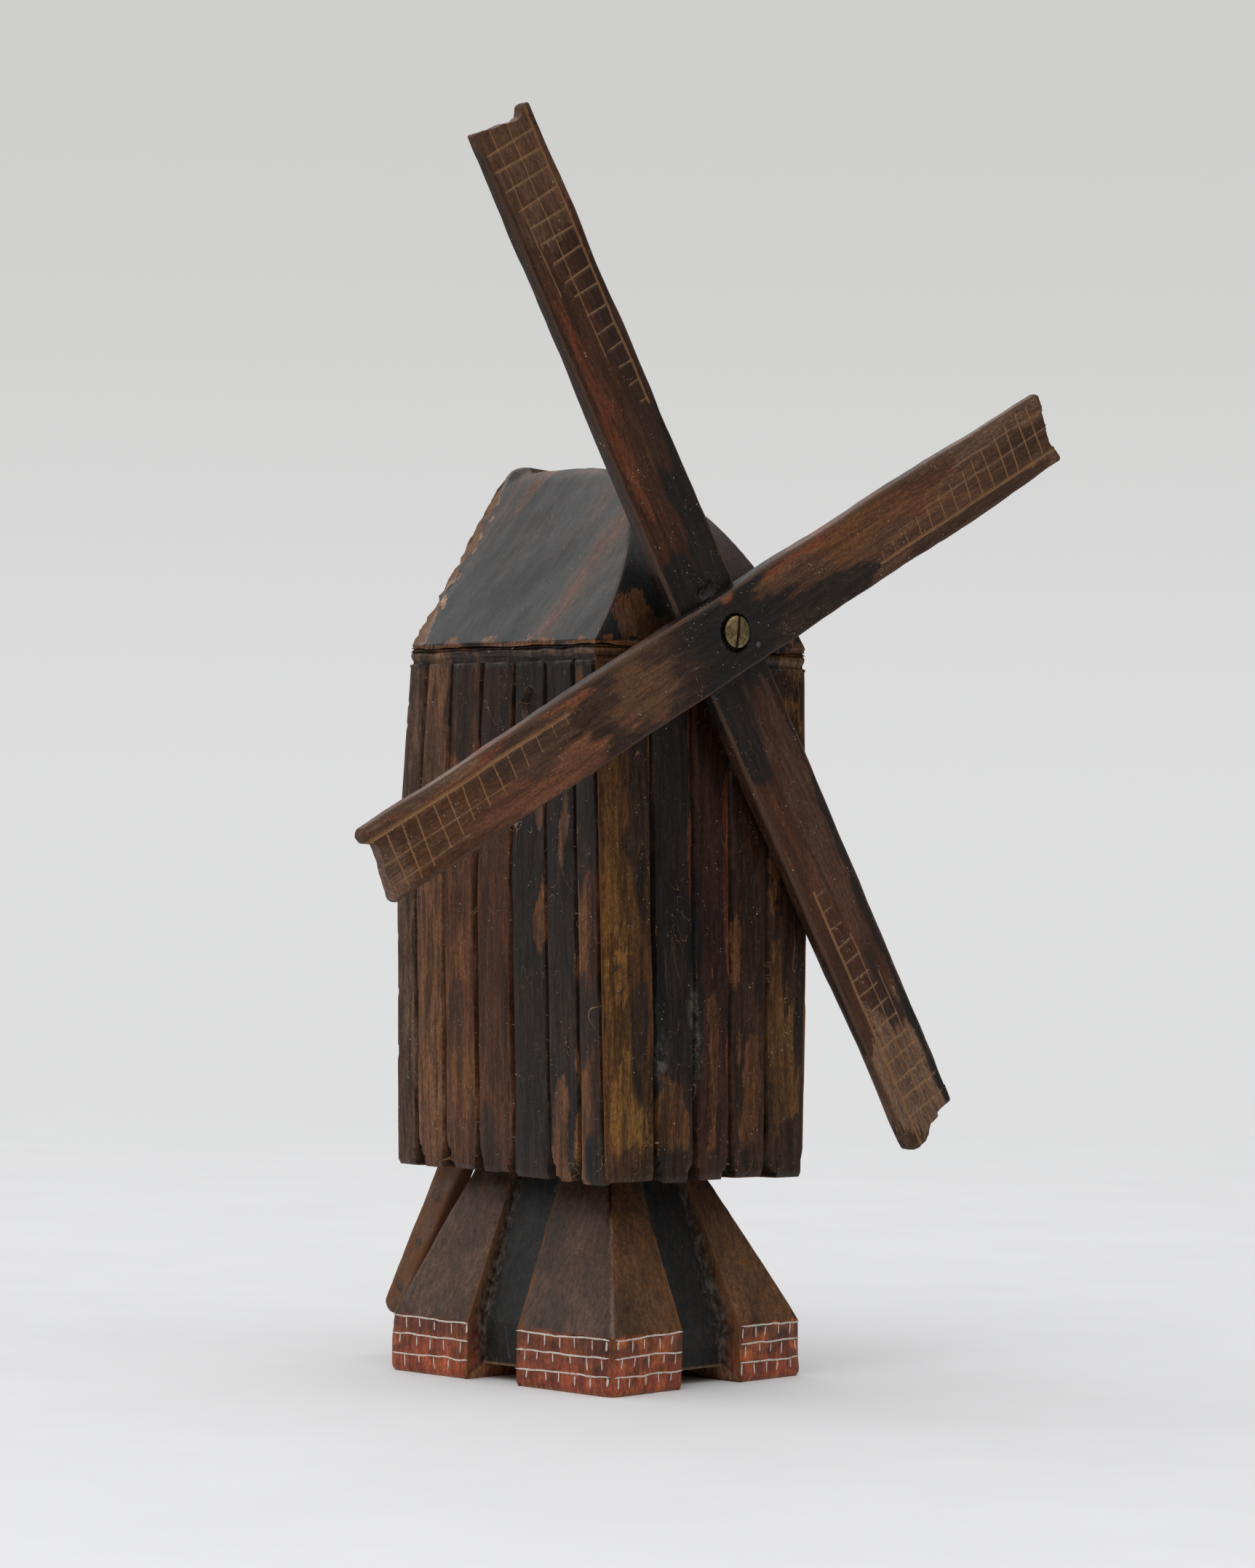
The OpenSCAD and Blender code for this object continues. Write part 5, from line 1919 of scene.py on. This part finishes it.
@dataclass
class Sails:
    """The two crossed bars, the screw that they turn on and the pin that locks them."""

    hub_z: float
    front_y: float
    back_y: float
    front_angle: float = 28.2
    cross_angle: float = 93.0
    screw_r: float = 3.5
    slot_half: float = 0.42
    slot_depth: float = 0.75
    slot_angle: float = 84.0

    @classmethod
    def from_frame(cls) -> "Sails":
        """Reads the screw's height and the bars' faces from the frame."""
        low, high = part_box("hub_screw")
        return cls(hub_z=(low[2] + high[2]) / 2 / MM, front_y=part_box("sail_bar_front")[0][1] / MM,
                   back_y=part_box("sail_bar_back")[0][1] / MM)

    def _front_bar(self) -> SailBar:
        """The shorter bar, which lies in front.

        Returns:
            The bar.
        """
        right = Arm(tip=107.9, rib=5.2, lines=(-0.2, -4.7), line_ends=(62.0, 75.0), groove_half=0.50,
                    rungs=14, first_rung=4.6, pitch=4.35,
                    step_back=((-9, 0.9), (-7.8, 0.0), (-4.4, 0.2), (-4.0, 0.9), (-0.2, 0.9), (0.2, 1.4),
                               (4.2, 1.5), (4.8, 0.5), (8.0, 0.0), (9, 0.9)), seed=1)
        left = Arm(tip=109.6, rib=5.4, lines=(-0.4, -4.9), line_ends=(70.0, 84.0), groove_half=0.52,
                   rungs=13, first_rung=5.6, pitch=4.4,
                   step_back=((-9, 2.4), (-7.6, 1.6), (-4.0, 1.9), (2.0, 2.6), (4.2, 2.5), (5.6, 0.4),
                              (7.4, 0.0), (9, 1.2)), seed=2)
        patches = (
            Patch("all", 0.0, -10.0, 30.0, 26.0, Tone.BLACK, 0.95, 0.35),
            Patch("all", 0.0, -44.0, 30.0, 26.0, Tone.UMBER, 0.95, 0.3),
            Patch("all", -6.0, 28.0, 6.0, 16.0, Tone.BLACK, 0.85, 0.4),
            Patch("all", 5.5, 24.0, 4.0, 12.0, Tone.BROWN, 0.6, 0.6),
            Patch("all", 7.4, 34.0, 1.4, 22.0, Tone.RUST, 0.6, 0.9),
            Patch("all", 0.0, -92.0, 12.0, 30.0, Tone.CHESTNUT, 0.9, 0.3),
            Patch("all", 0.0, 92.0, 12.0, 24.0, Tone.HAZEL, 0.65, 0.4),
            Patch("all", -1.0, 88.0, 5.0, 22.0, Tone.UMBER, 0.18, 0.3),
            Patch("all", -4.0, -106.0, 6.0, 4.0, Tone.HAZEL, 0.5, 0.6),
            Patch("all", -4.5, -60.0, 4.0, 16.0, Tone.RUST, 0.24, 0.5),
            Patch("all", 5.0, 46.0, 5.0, 20.0, Tone.WARM, 0.75, 0.8),
            Patch("all", 2.0, -30.0, 8.0, 12.0, Tone.SOOT, 0.7, 0.4),
            Patch("all", 1.0, -30.0, 5.0, 8.0, Tone.OCHRE, 0.3, 0.9),
            Patch("all", 6.8, -72.0, 1.8, 24.0, Tone.RUST, 0.5, 0.6),
            Patch("all", 7.6, -94.0, 1.2, 16.0, Tone.HAZEL, 0.8, 0.9),
            Patch("all", 3.0, -62.0, 5.0, 10.0, Tone.UMBER, 0.5, 0.8),
            Patch("all", -6.6, 78.0, 1.8, 30.0, Tone.UMBER, 0.6, 0.6),
            Patch("all", 4.5, 62.0, 3.0, 12.0, Tone.RUST, 0.22, 0.6),
        )
        return SailBar("sail_bar_front", self.front_angle, self.front_y, right, left, self.hub_z,
                       screw_hole=4.15, tone=Tone.BROWN, patches=patches, seed=1)

    def _back_bar(self) -> SailBar:
        """The longer bar, which lies behind and reaches further down than up.

        Returns:
            The bar.
        """
        upper = Arm(tip=122.2, rib=6.6, lines=(0.6, -4.2), line_ends=(64.0, 82.0), groove_half=0.42,
                    rungs=15, first_rung=5.0, pitch=4.5,
                    step_back=((-9, 0.6), (-8.2, 0.0), (-7.0, 0.3), (-1.0, 1.3), (3.2, 2.1), (5.0, 1.9),
                               (6.2, 0.3), (7.6, 0.0), (9, 1.0)), seed=3)
        lower = Arm(tip=127.9, rib=4.4, lines=(-0.6, -3.8), line_ends=(74.0, 86.0), groove_half=0.48,
                    rungs=14, first_rung=8.0, pitch=4.4,
                    step_back=((-9, 8.6), (-8.0, 6.6), (-6.0, 5.6), (-3.6, 5.2), (-3.0, 3.0), (0.4, 2.6),
                               (1.2, 1.0), (3.0, 0.2), (6.0, 0.0), (7.6, 0.7), (9, 2.6)), seed=4)
        patches = (
            Patch("all", 0.0, 2.0, 30.0, 18.0, Tone.BLACK, 0.9, 0.4),
            Patch("all", -5.5, 34.0, 4.5, 28.0, Tone.BLACK, 0.9, 0.35),
            Patch("all", 5.2, 58.0, 2.2, 28.0, Tone.RUST, 0.30, 0.7),
            Patch("all", 0.0, 112.0, 12.0, 16.0, Tone.BROWN, 0.75, 0.5),
            Patch("all", 0.0, -112.0, 12.0, 18.0, Tone.HAZEL, 0.9, 0.4),
            Patch("all", 1.5, 44.0, 2.4, 14.0, Tone.RED_BROWN, 0.7, 0.6),
            Patch("all", -5.0, 62.0, 4.0, 18.0, Tone.UMBER, 0.7, 0.5),
            Patch("all", 8.2, 84.0, 1.0, 44.0, Tone.UMBER, 0.7, 0.4),
            Patch("all", 4.0, -22.0, 4.5, 16.0, Tone.BLACK, 0.85, 0.4),
            Patch("all", -4.0, -52.0, 6.0, 26.0, Tone.GREY_BROWN, 0.4, 0.7),
            Patch("all", -8.6, -84.0, 2.2, 50.0, Tone.BLACK, 0.85, 0.35),
            Patch("all", -2.5, -90.0, 2.6, 10.0, Tone.SOOT, 0.6, 0.7),
        )
        return SailBar("sail_bar_back", self.front_angle + self.cross_angle, self.back_y, upper, lower,
                       self.hub_z, shift=1.8, lap_front=True, tone=Tone.RED_BROWN, patches=patches, seed=2)

    def build(self) -> None:
        """Builds and dresses the bars, the screw and the pin."""
        wood = StainedWood("sail_stain", gloss=0.42, coat=0.06, edge_tone=Tone.GREY_BROWN, edge_amount=0.50,
                           cut_tone=Tone.CUT, cut_strength=0.9, streak=0.32, speck=0.8, scratch=0.4,
                           relief=0.09, shine=0.24)
        material = wood.material()
        for bar in (self._front_bar(), self._back_bar()):
            carved = bar.shape().object(bar.name + "_carved")
            Place("sails", "sail_wood", (bar.name,)).settle(carved, material)
        brass = OldMetal("dull_brass", (0.33, 0.25, 0.12), (0.13, 0.095, 0.042), (0.018, 0.013, 0.008))
        Place("mill", "screw_brass", ("hub_screw",)).settle(self._screw(), brass.material())
        iron = OldMetal("pin_head", (0.20, 0.17, 0.14), (0.09, 0.07, 0.055), (0.02, 0.016, 0.012), 0.55)
        Place("sails", "pin_iron", ("lock_pin",)).settle(self._pin(), iron.material())

    def _screw(self) -> bpy.types.Object:
        """Builds the slotted screw: a low domed head, its cone and its shank.

        Returns:
            The screw.
        """
        low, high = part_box("hub_screw")
        face, tip = low[1] / MM, high[1] / MM
        radius = self.screw_r
        outline = [(0.0, 0.0), (radius * 0.45, 0.02), (radius * 0.8, 0.08), (radius - 0.22, 0.16),
                   (radius - 0.05, 0.3), (radius, 0.5), (radius - 0.04, 0.72), (1.75, 2.6), (1.7, 9.0),
                   (1.7, tip - face - 3.0), (0.9, tip - face - 0.6), (0.0, tip - face)]
        made = lathe_shape(outline, 72, self.hub_z, face).object("slotted_screw")
        self._cut_slot(made, face)
        return made

    def _cut_slot(self, screw: bpy.types.Object, face: float) -> None:
        """Cuts the slot across the screw's head.

        Args:
            screw: The screw.
            face: The y of its face.
        """
        reach = self.screw_r * 1.3
        half = np.array([reach, self.slot_depth, self.slot_half])
        signs = np.array(list(itertools.product((-1, 1), repeat=3)))
        angle = math.radians(self.slot_angle)
        spots = signs * half
        x = spots[:, 0] * math.cos(angle) - spots[:, 2] * math.sin(angle)
        z = spots[:, 0] * math.sin(angle) + spots[:, 2] * math.cos(angle)
        points = np.column_stack([x, face + spots[:, 1], self.hub_z + z])
        faces = np.array([(0, 1, 3, 2), (4, 6, 7, 5), (0, 4, 5, 1), (2, 3, 7, 6), (0, 2, 6, 4), (1, 5, 7, 3)])
        cutter = Shape(points, faces, np.zeros((0, 3), int)).object("slot_cutter")
        modifier = screw.modifiers.new("slot", "BOOLEAN")
        modifier.object = cutter
        modifier.solver = "EXACT"
        baked = bpy.data.meshes.new_from_object(screw.evaluated_get(bpy.context.evaluated_depsgraph_get()))
        screw.modifiers.clear()
        screw.data = baked
        bpy.data.objects.remove(cutter)
        self._grime(screw, face)

    def _grime(self, screw: bpy.types.Object, face: float) -> None:
        """Rewrites the screw's masks once its slot is cut: grime fills the slot and the rim's foot.

        Args:
            screw: The screw.
            face: The y of its face.
        """
        mesh = screw.data
        points = np.zeros(len(mesh.vertices) * 3)
        mesh.vertices.foreach_get("co", points)
        points = points.reshape(-1, 3) / MM
        below = ease(0.35, 0.7, points[:, 1] - face)
        for name in ("grain", "hollow"):
            if name in mesh.attributes:
                mesh.attributes.remove(mesh.attributes[name])
        Shape.write(mesh, "grain", points)
        Shape.write(mesh, "hollow", below)
        mesh.set_sharp_from_angle(angle=SHARP_ANGLE)

    def _pin(self) -> bpy.types.Object:
        """Builds the small pin whose end shows beside the screw.

        Returns:
            The pin.
        """
        low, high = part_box("lock_pin")
        centre = (low[0] + high[0]) / 2 / MM, (low[2] + high[2]) / 2 / MM
        radius = (high[0] - low[0]) / 2 / MM
        start, end = low[1] / MM - 0.08, high[1] / MM
        outline = [(0.0, 0.0), (radius * 0.6, 0.03), (radius * 0.9, 0.1), (radius, 0.22),
                   (radius, end - start - 0.2), (radius * 0.8, end - start - 0.05), (0.0, end - start)]
        return lathe_shape(outline, 32, centre[1], start, centre[0]).object("lock_pin_end")


def lathe_shape(outline: list[tuple[float, float]], around: int, centre_z: float, start_y: float,
                centre_x: float = 0.0) -> Shape:
    """Turns an outline about an axis that runs along Y.

    Args:
        outline: Pairs of radius and distance along the axis, from the front to the back.
        around: The number of points round it.
        centre_z: The axis's height.
        start_y: Where the outline starts.
        centre_x: The axis's x.

    Returns:
        The solid.
    """
    angles = np.linspace(0, 2 * math.pi, around, endpoint=False)
    fine = [outline[0]]
    for (r0, y0), (r1, y1) in zip(outline, outline[1:]):
        steps = max(1, round(math.hypot(r1 - r0, y1 - y0) / 0.8))
        fine += [(r0 + (r1 - r0) * k / steps, y0 + (y1 - y0) * k / steps) for k in range(1, steps + 1)]
    radius, along = (column[:, None] for column in np.array(fine[1:-1]).T)
    x = centre_x + radius * np.cos(angles)
    y = np.broadcast_to(start_y + along, x.shape)
    z = centre_z + radius * np.sin(angles)
    tips = [(centre_x, start_y + at, centre_z) for at in (fine[0][1], fine[-1][1])]
    points = np.vstack([np.stack([x, y, z], axis=-1).reshape(-1, 3), tips])
    first, final = len(points) - 2, len(points) - 2 - around
    near = np.arange(around)
    far = (near + 1) % around
    caps = [(first, far, near), (first + 1, final + near, final + far)]
    caps = [np.stack(np.broadcast_arrays(*cap), axis=-1) for cap in caps]
    shape = Shape(points, ring_quads(len(x), around), np.stack(caps, axis=1).reshape(-1, 3))
    shape.masks = {"grain": points.copy(), "hollow": np.zeros(len(points))}
    return shape


# ---- The ladder ----


@dataclass
class Ladder:
    """The two rails and the rungs that hang behind the body."""

    top_z: float
    half_w: float
    reach: float = 35.4
    lean: float = 30.3
    rail_l: float = 36.0
    rail_t: float = 4.4
    top_w: float = 8.0
    foot_w: float = 6.2
    rung_names: tuple[str, ...] = ("ladder_rung_1", "ladder_rung_2", "ladder_rung_3")

    @classmethod
    def from_frame(cls) -> "Ladder":
        """Reads the ladder's top and width from the frame."""
        low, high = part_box("ladder_rail_left")
        return cls(top_z=high[2] / MM, half_w=-low[0] / MM)

    def build(self) -> None:
        """Builds and dresses the rails and rungs."""
        wood = StainedWood("ladder_stain", gloss=0.46, coat=0.05, edge_tone=Tone.WARM, edge_amount=0.5,
                           cut_tone=Tone.SOOT, streak=0.35, speck=0.4)
        material = wood.material()
        for name, way in (("ladder_rail_left", -1), ("ladder_rail_right", 1)):
            carved = self._rail(way).object(name + "_carved")
            Place("mill", "ladder_wood", (name,)).settle(carved, material)
        for number, name in enumerate(self.rung_names):
            whittled = self._rung(name, number).object(name + "_whittled")
            Place("mill", "ladder_wood", (name,)).settle(whittled, material)

    def _axes(self) -> tuple[Array, Array]:
        """The directions down the rail and across it, as y and z."""
        lean = math.radians(self.lean)
        return np.array([math.sin(lean), -math.cos(lean)]), np.array([-math.cos(lean), -math.sin(lean)])

    def _rung_spots(self) -> list[tuple[float, float]]:
        """Each rung's centre, as y and z.

        Returns:
            One pair for each rung.
        """
        spots = []
        for name in self.rung_names:
            low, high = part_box(name)
            spots.append(((low[1] + high[1]) / 2 / MM, (low[2] + high[2]) / 2 / MM))
        return spots

    def _rail(self, way: int) -> Shape:
        """Builds one rail.

        Args:
            way: -1 for the left rail, 1 for the right one.

        Returns:
            The rail.
        """
        down, inward = self._axes()
        block = Block(places(0, 1, 0.07, fine=0.04), places(0, 1, 0.12, fine=0.06),
                      places(0, 1, 0.02, fine=0.01), End.GRID, End.GRID)
        width = self.top_w + (self.foot_w - self.top_w) * block.at_w
        across = block.at_u * width
        start = -math.tan(math.radians(self.lean)) * across
        bulge = np.sqrt(np.maximum((width / 2) ** 2 - (across - width / 2) ** 2, 0))
        along = start + (self.rail_l + bulge - start) * block.at_w
        deep = block.at_v * self.rail_t
        zero = np.zeros_like(across)
        high = np.column_stack([width, zero + self.rail_t, zero])
        moved = rounded(np.column_stack([across, deep, zero]), np.zeros_like(high), high, 1.0)
        y = self.reach + down[0] * along + inward[0] * moved[:, 0]
        z = self.top_z + down[1] * along + inward[1] * moved[:, 0]
        x = way * (self.half_w - moved[:, 1])
        shape = Shape(np.column_stack([x, y, z]), block.quads, block.tris)
        ring = zero.copy()
        for spot in self._rung_spots():
            ring = np.maximum(ring, vee(np.hypot(y - spot[0], z - spot[1]) - 1.45, 0.5))
        cloud = rough(x / 4, y / 8, z / 8, 401 + way, 4)
        stain = Tone.BROWN.rgb * (0.95 + 0.4 * cloud)[:, None]
        stain = paint(stain, Tone.SOOT, ring * 0.85)
        stain = paint(stain, Tone.UMBER, ease(self.top_z - 8, self.top_z, z) * 0.6)
        from_edge = np.minimum(np.minimum(across, width - across), np.minimum(deep, self.rail_t - deep) + 0.6)
        grain = np.column_stack([x, across, along])
        shape.masks = {**bare_layers(stain), "grain": grain,
                       "edge": ease(1.3, 0.3, from_edge) * 0.8, "cut": ring * 0.3, "hollow": ring * 0.3}
        near_top = ease(self.top_z - 1.0, self.top_z - 0.1, z)
        shape.carve((0.16 * rough(x / 3, y / 5, z / 5, 411 + way) + 0.15 * ring) * (1 - near_top))
        shape.points[:, 2] = np.minimum(shape.points[:, 2], self.top_z - 0.02)
        return shape

    def _rung(self, name: str, number: int) -> Shape:
        """Builds one whittled rung.

        Args:
            name: Its node.
            number: Its number, for its unevenness.

        Returns:
            The rung.
        """
        low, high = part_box(name)
        radius = (high[2] - low[2]) / 2 / MM
        centre = self._rung_spots()[number]
        half = high[0] / MM + 0.06
        stations = places(-half, half, 0.7, (-half + 0.3, half - 0.3), 0.3, 0.12)
        around = 28
        angles = np.linspace(0, 2 * math.pi, around, endpoint=False)
        x, angle = np.meshgrid(stations, angles, indexing="ij")
        facet = 0.06 * np.cos(angle * 6 + x * 0.05)
        facet = facet + 0.07 * ripple(x / 4, np.cos(angle) * 1.5, np.sin(angle) * 1.5, 421 + number)
        tip = ease(0.35, 0.0, half - np.abs(x)) * 0.3
        size = radius * (1 - tip) - 0.06 + facet
        points = np.stack([x, centre[0] + size * np.cos(angle), centre[1] + size * np.sin(angle)], axis=-1)
        shape = tube_shape(points.reshape(-1, 3), around)
        x, y, z = shape.points.T
        end = ease(half - 0.25, half - 0.05, np.abs(x))
        stain = Tone.BROWN.rgb * (1 + 0.3 * rough(x / 8, y / 2, z / 2, 431))[:, None]
        stain = paint(stain, Tone.UMBER, end * 0.8)
        shape.masks = {**bare_layers(stain), "grain": np.column_stack([y, z, x]), "edge": end * 0.2,
                       "cut": np.zeros_like(x), "hollow": end * 0.3}
        return shape


# ---- The hidden fittings ----


@dataclass
class Fittings:
    """The dowel under the body and the collar behind the sails, which keep the frame's meshes."""

    nodes: tuple[str, ...] = ("pivot_dowel", "hub_collar")

    def build(self) -> None:
        """Dresses the two nodes."""
        material = TurnedWood("turned_hardwood").material()
        for name in self.nodes:
            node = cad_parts[name]
            for slot in node.material_slots:
                slot.material = material
            if not node.material_slots:
                node.data.materials.append(material)
            LOG.info("%s: kept from the frame", name)


# ---- The studio ----


@dataclass
class Studio:
    """The pale floor, the soft lights, the surroundings and the camera."""

    floor_r: float = 1500.0
    fade_from: float = 260.0
    floor_tone: tuple[float, float, float] = (0.675, 0.675, 0.68)
    lens: float = 102.29
    sensor: float = 36.0
    distance: float = 990.95
    round_: float = 40.577
    pitch: float = -0.649
    roll: float = 0.926
    aim_right: float = 5.029
    aim_z: float = 130.769

    def build(self) -> None:
        """Builds the whole studio."""
        self._camera()
        self._floor()
        self._world()
        self._light("key_softbox", (-900, -500, 1100), 1000, 3.6)
        self._light("rear_softbox", (-250, 1150, 900), 900, 0.8)
        self._light("front_fill", (500, -1300, 900), 1000, 2.4)
        bpy.context.scene.view_settings.view_transform = "Standard"

    def _camera(self) -> None:
        """Places the camera, which looks at the model from its front left."""
        around, pitch, roll = (math.radians(value) for value in (self.round_, self.pitch, self.roll))
        right = Vector((math.cos(around), -math.sin(around), 0))
        flat = math.cos(pitch)
        back = Vector((-math.sin(around) * flat, -math.cos(around) * flat, math.sin(pitch)))
        up = back.cross(right)
        tilted_right = right * math.cos(roll) + up * math.sin(roll)
        tilted_up = up * math.cos(roll) - right * math.sin(roll)
        target = right * self.aim_right + Vector((0, 0, self.aim_z))
        data = bpy.data.cameras.new("camera")
        data.lens = self.lens
        data.sensor_width = self.sensor
        data.clip_start, data.clip_end = 0.05, 20.0
        camera = bpy.data.objects.new("camera", data)
        turned = Matrix((tilted_right, tilted_up, back)).transposed().to_4x4()
        camera.matrix_world = Matrix.Translation((target + back * self.distance) * MM) @ turned
        bpy.context.scene.collection.objects.link(camera)
        bpy.context.scene.camera = camera

    def _floor(self) -> None:
        """Lays a round floor whose far edge fades into the surroundings."""
        around = 96
        radii = [self.floor_r * (k / 24) ** 1.6 for k in range(1, 25)]
        points = [(0.0, 0.0, 0.0)]
        for radius in radii:
            for k in range(around):
                angle = 2 * math.pi * k / around
                points.append((radius * math.cos(angle), radius * math.sin(angle), 0.0))
        tris = [(0, 1 + k, 1 + (k + 1) % around) for k in range(around)]
        quads = 1 + ring_quads(len(radii), around)[:, [0, 3, 2, 1]]
        floor = Shape(np.array(points), quads, np.array(tris)).object("studio_floor")
        material, tree, shader = new_material("floor_paper")
        vector = tree.in_mm()
        pulp = tree.spread(tree.noise(vector, (0.02, 0.02, 0.02), 5, 0.6), 0.3, 0.7)
        length = tree.add("ShaderNodeVectorMath", {0: vector}, operation="LENGTH").outputs["Value"]
        fine = tree.noise(vector, (0.5, 0.5, 0.5), 4, 0.6)
        tone = self.floor_tone
        tree.feed(shader, {"Base Color": tree.blend(pulp, tone, [value * 0.97 for value in tone]),
                           "Roughness": 0.7, "Specular IOR Level": 0.2, "Normal": tree.bump(fine, 0.15, 0.2),
                           "Alpha": tree.spread(length, self.fade_from, self.floor_r * 0.8, 1.0, 0.0)})
        floor.data.materials.append(material)

    def _world(self) -> None:
        """Lights the scene from above, a little more from the left, and hardly from the sides."""
        world = bpy.data.worlds.new("studio")
        world.use_nodes = True
        world.node_tree.nodes.clear()
        bpy.context.scene.world = world
        tree = Tree(world.node_tree)
        way = tree.add("ShaderNodeTexCoord").outputs["Generated"]
        split = tree.add("ShaderNodeSeparateXYZ", {0: way})
        height = split.outputs["Z"]
        seen = tree.blend(tree.spread(height, -0.02, 0.17), (0.735, 0.737, 0.742), (0.625, 0.622, 0.612))
        bright_way = (-0.24, 0.17, 0.955)
        facing = tree.add("ShaderNodeVectorMath", {0: way, 1: bright_way}, operation="DOT_PRODUCT")
        glow = tree.spread(facing.outputs["Value"], 0.08, 0.86)
        lit = tree.blend(glow, (0.14, 0.14, 0.14), (1.42, 1.425, 1.44))
        ray = tree.add("ShaderNodeLightPath").outputs["Is Camera Ray"]
        lit_shader = tree.add("ShaderNodeBackground", {"Color": lit, "Strength": 1.0})
        seen_shader = tree.add("ShaderNodeBackground", {"Color": seen, "Strength": 1.0})
        both = tree.add("ShaderNodeMixShader", {0: ray, 1: lit_shader.outputs[0], 2: seen_shader.outputs[0]})
        tree.add("ShaderNodeOutputWorld", {"Surface": both.outputs[0]})

    @staticmethod
    def _light(name: str, place: tuple[float, float, float], size: float, power: float) -> None:
        """Hangs a square soft light that faces the model.

        Args:
            name: Its name.
            place: Where it hangs.
            size: Its side.
            power: Its power in watts.
        """
        data = bpy.data.lights.new(name, "AREA")
        data.shape = "SQUARE"
        data.size = size * MM
        data.energy = power
        light = bpy.data.objects.new(name, data)
        spot = Vector(place) * MM
        light.location = spot
        light.rotation_mode = "QUATERNION"
        light.rotation_quaternion = (Vector((0, 0, 0.12)) - spot).to_track_quat("-Z", "Y")
        bpy.context.scene.collection.objects.link(light)


def main() -> None:
    """Builds the studio and every sub-assembly in order."""
    logging.basicConfig(level=logging.INFO, format="%(name)s: %(message)s")
    Studio().build()
    BaseBlock.from_frame().build()
    MillBody(BodyProfile.from_frame()).build()
    Sails.from_frame().build()
    Ladder.from_frame().build()
    Fittings().build()


if __name__ == "__main__":
    main()
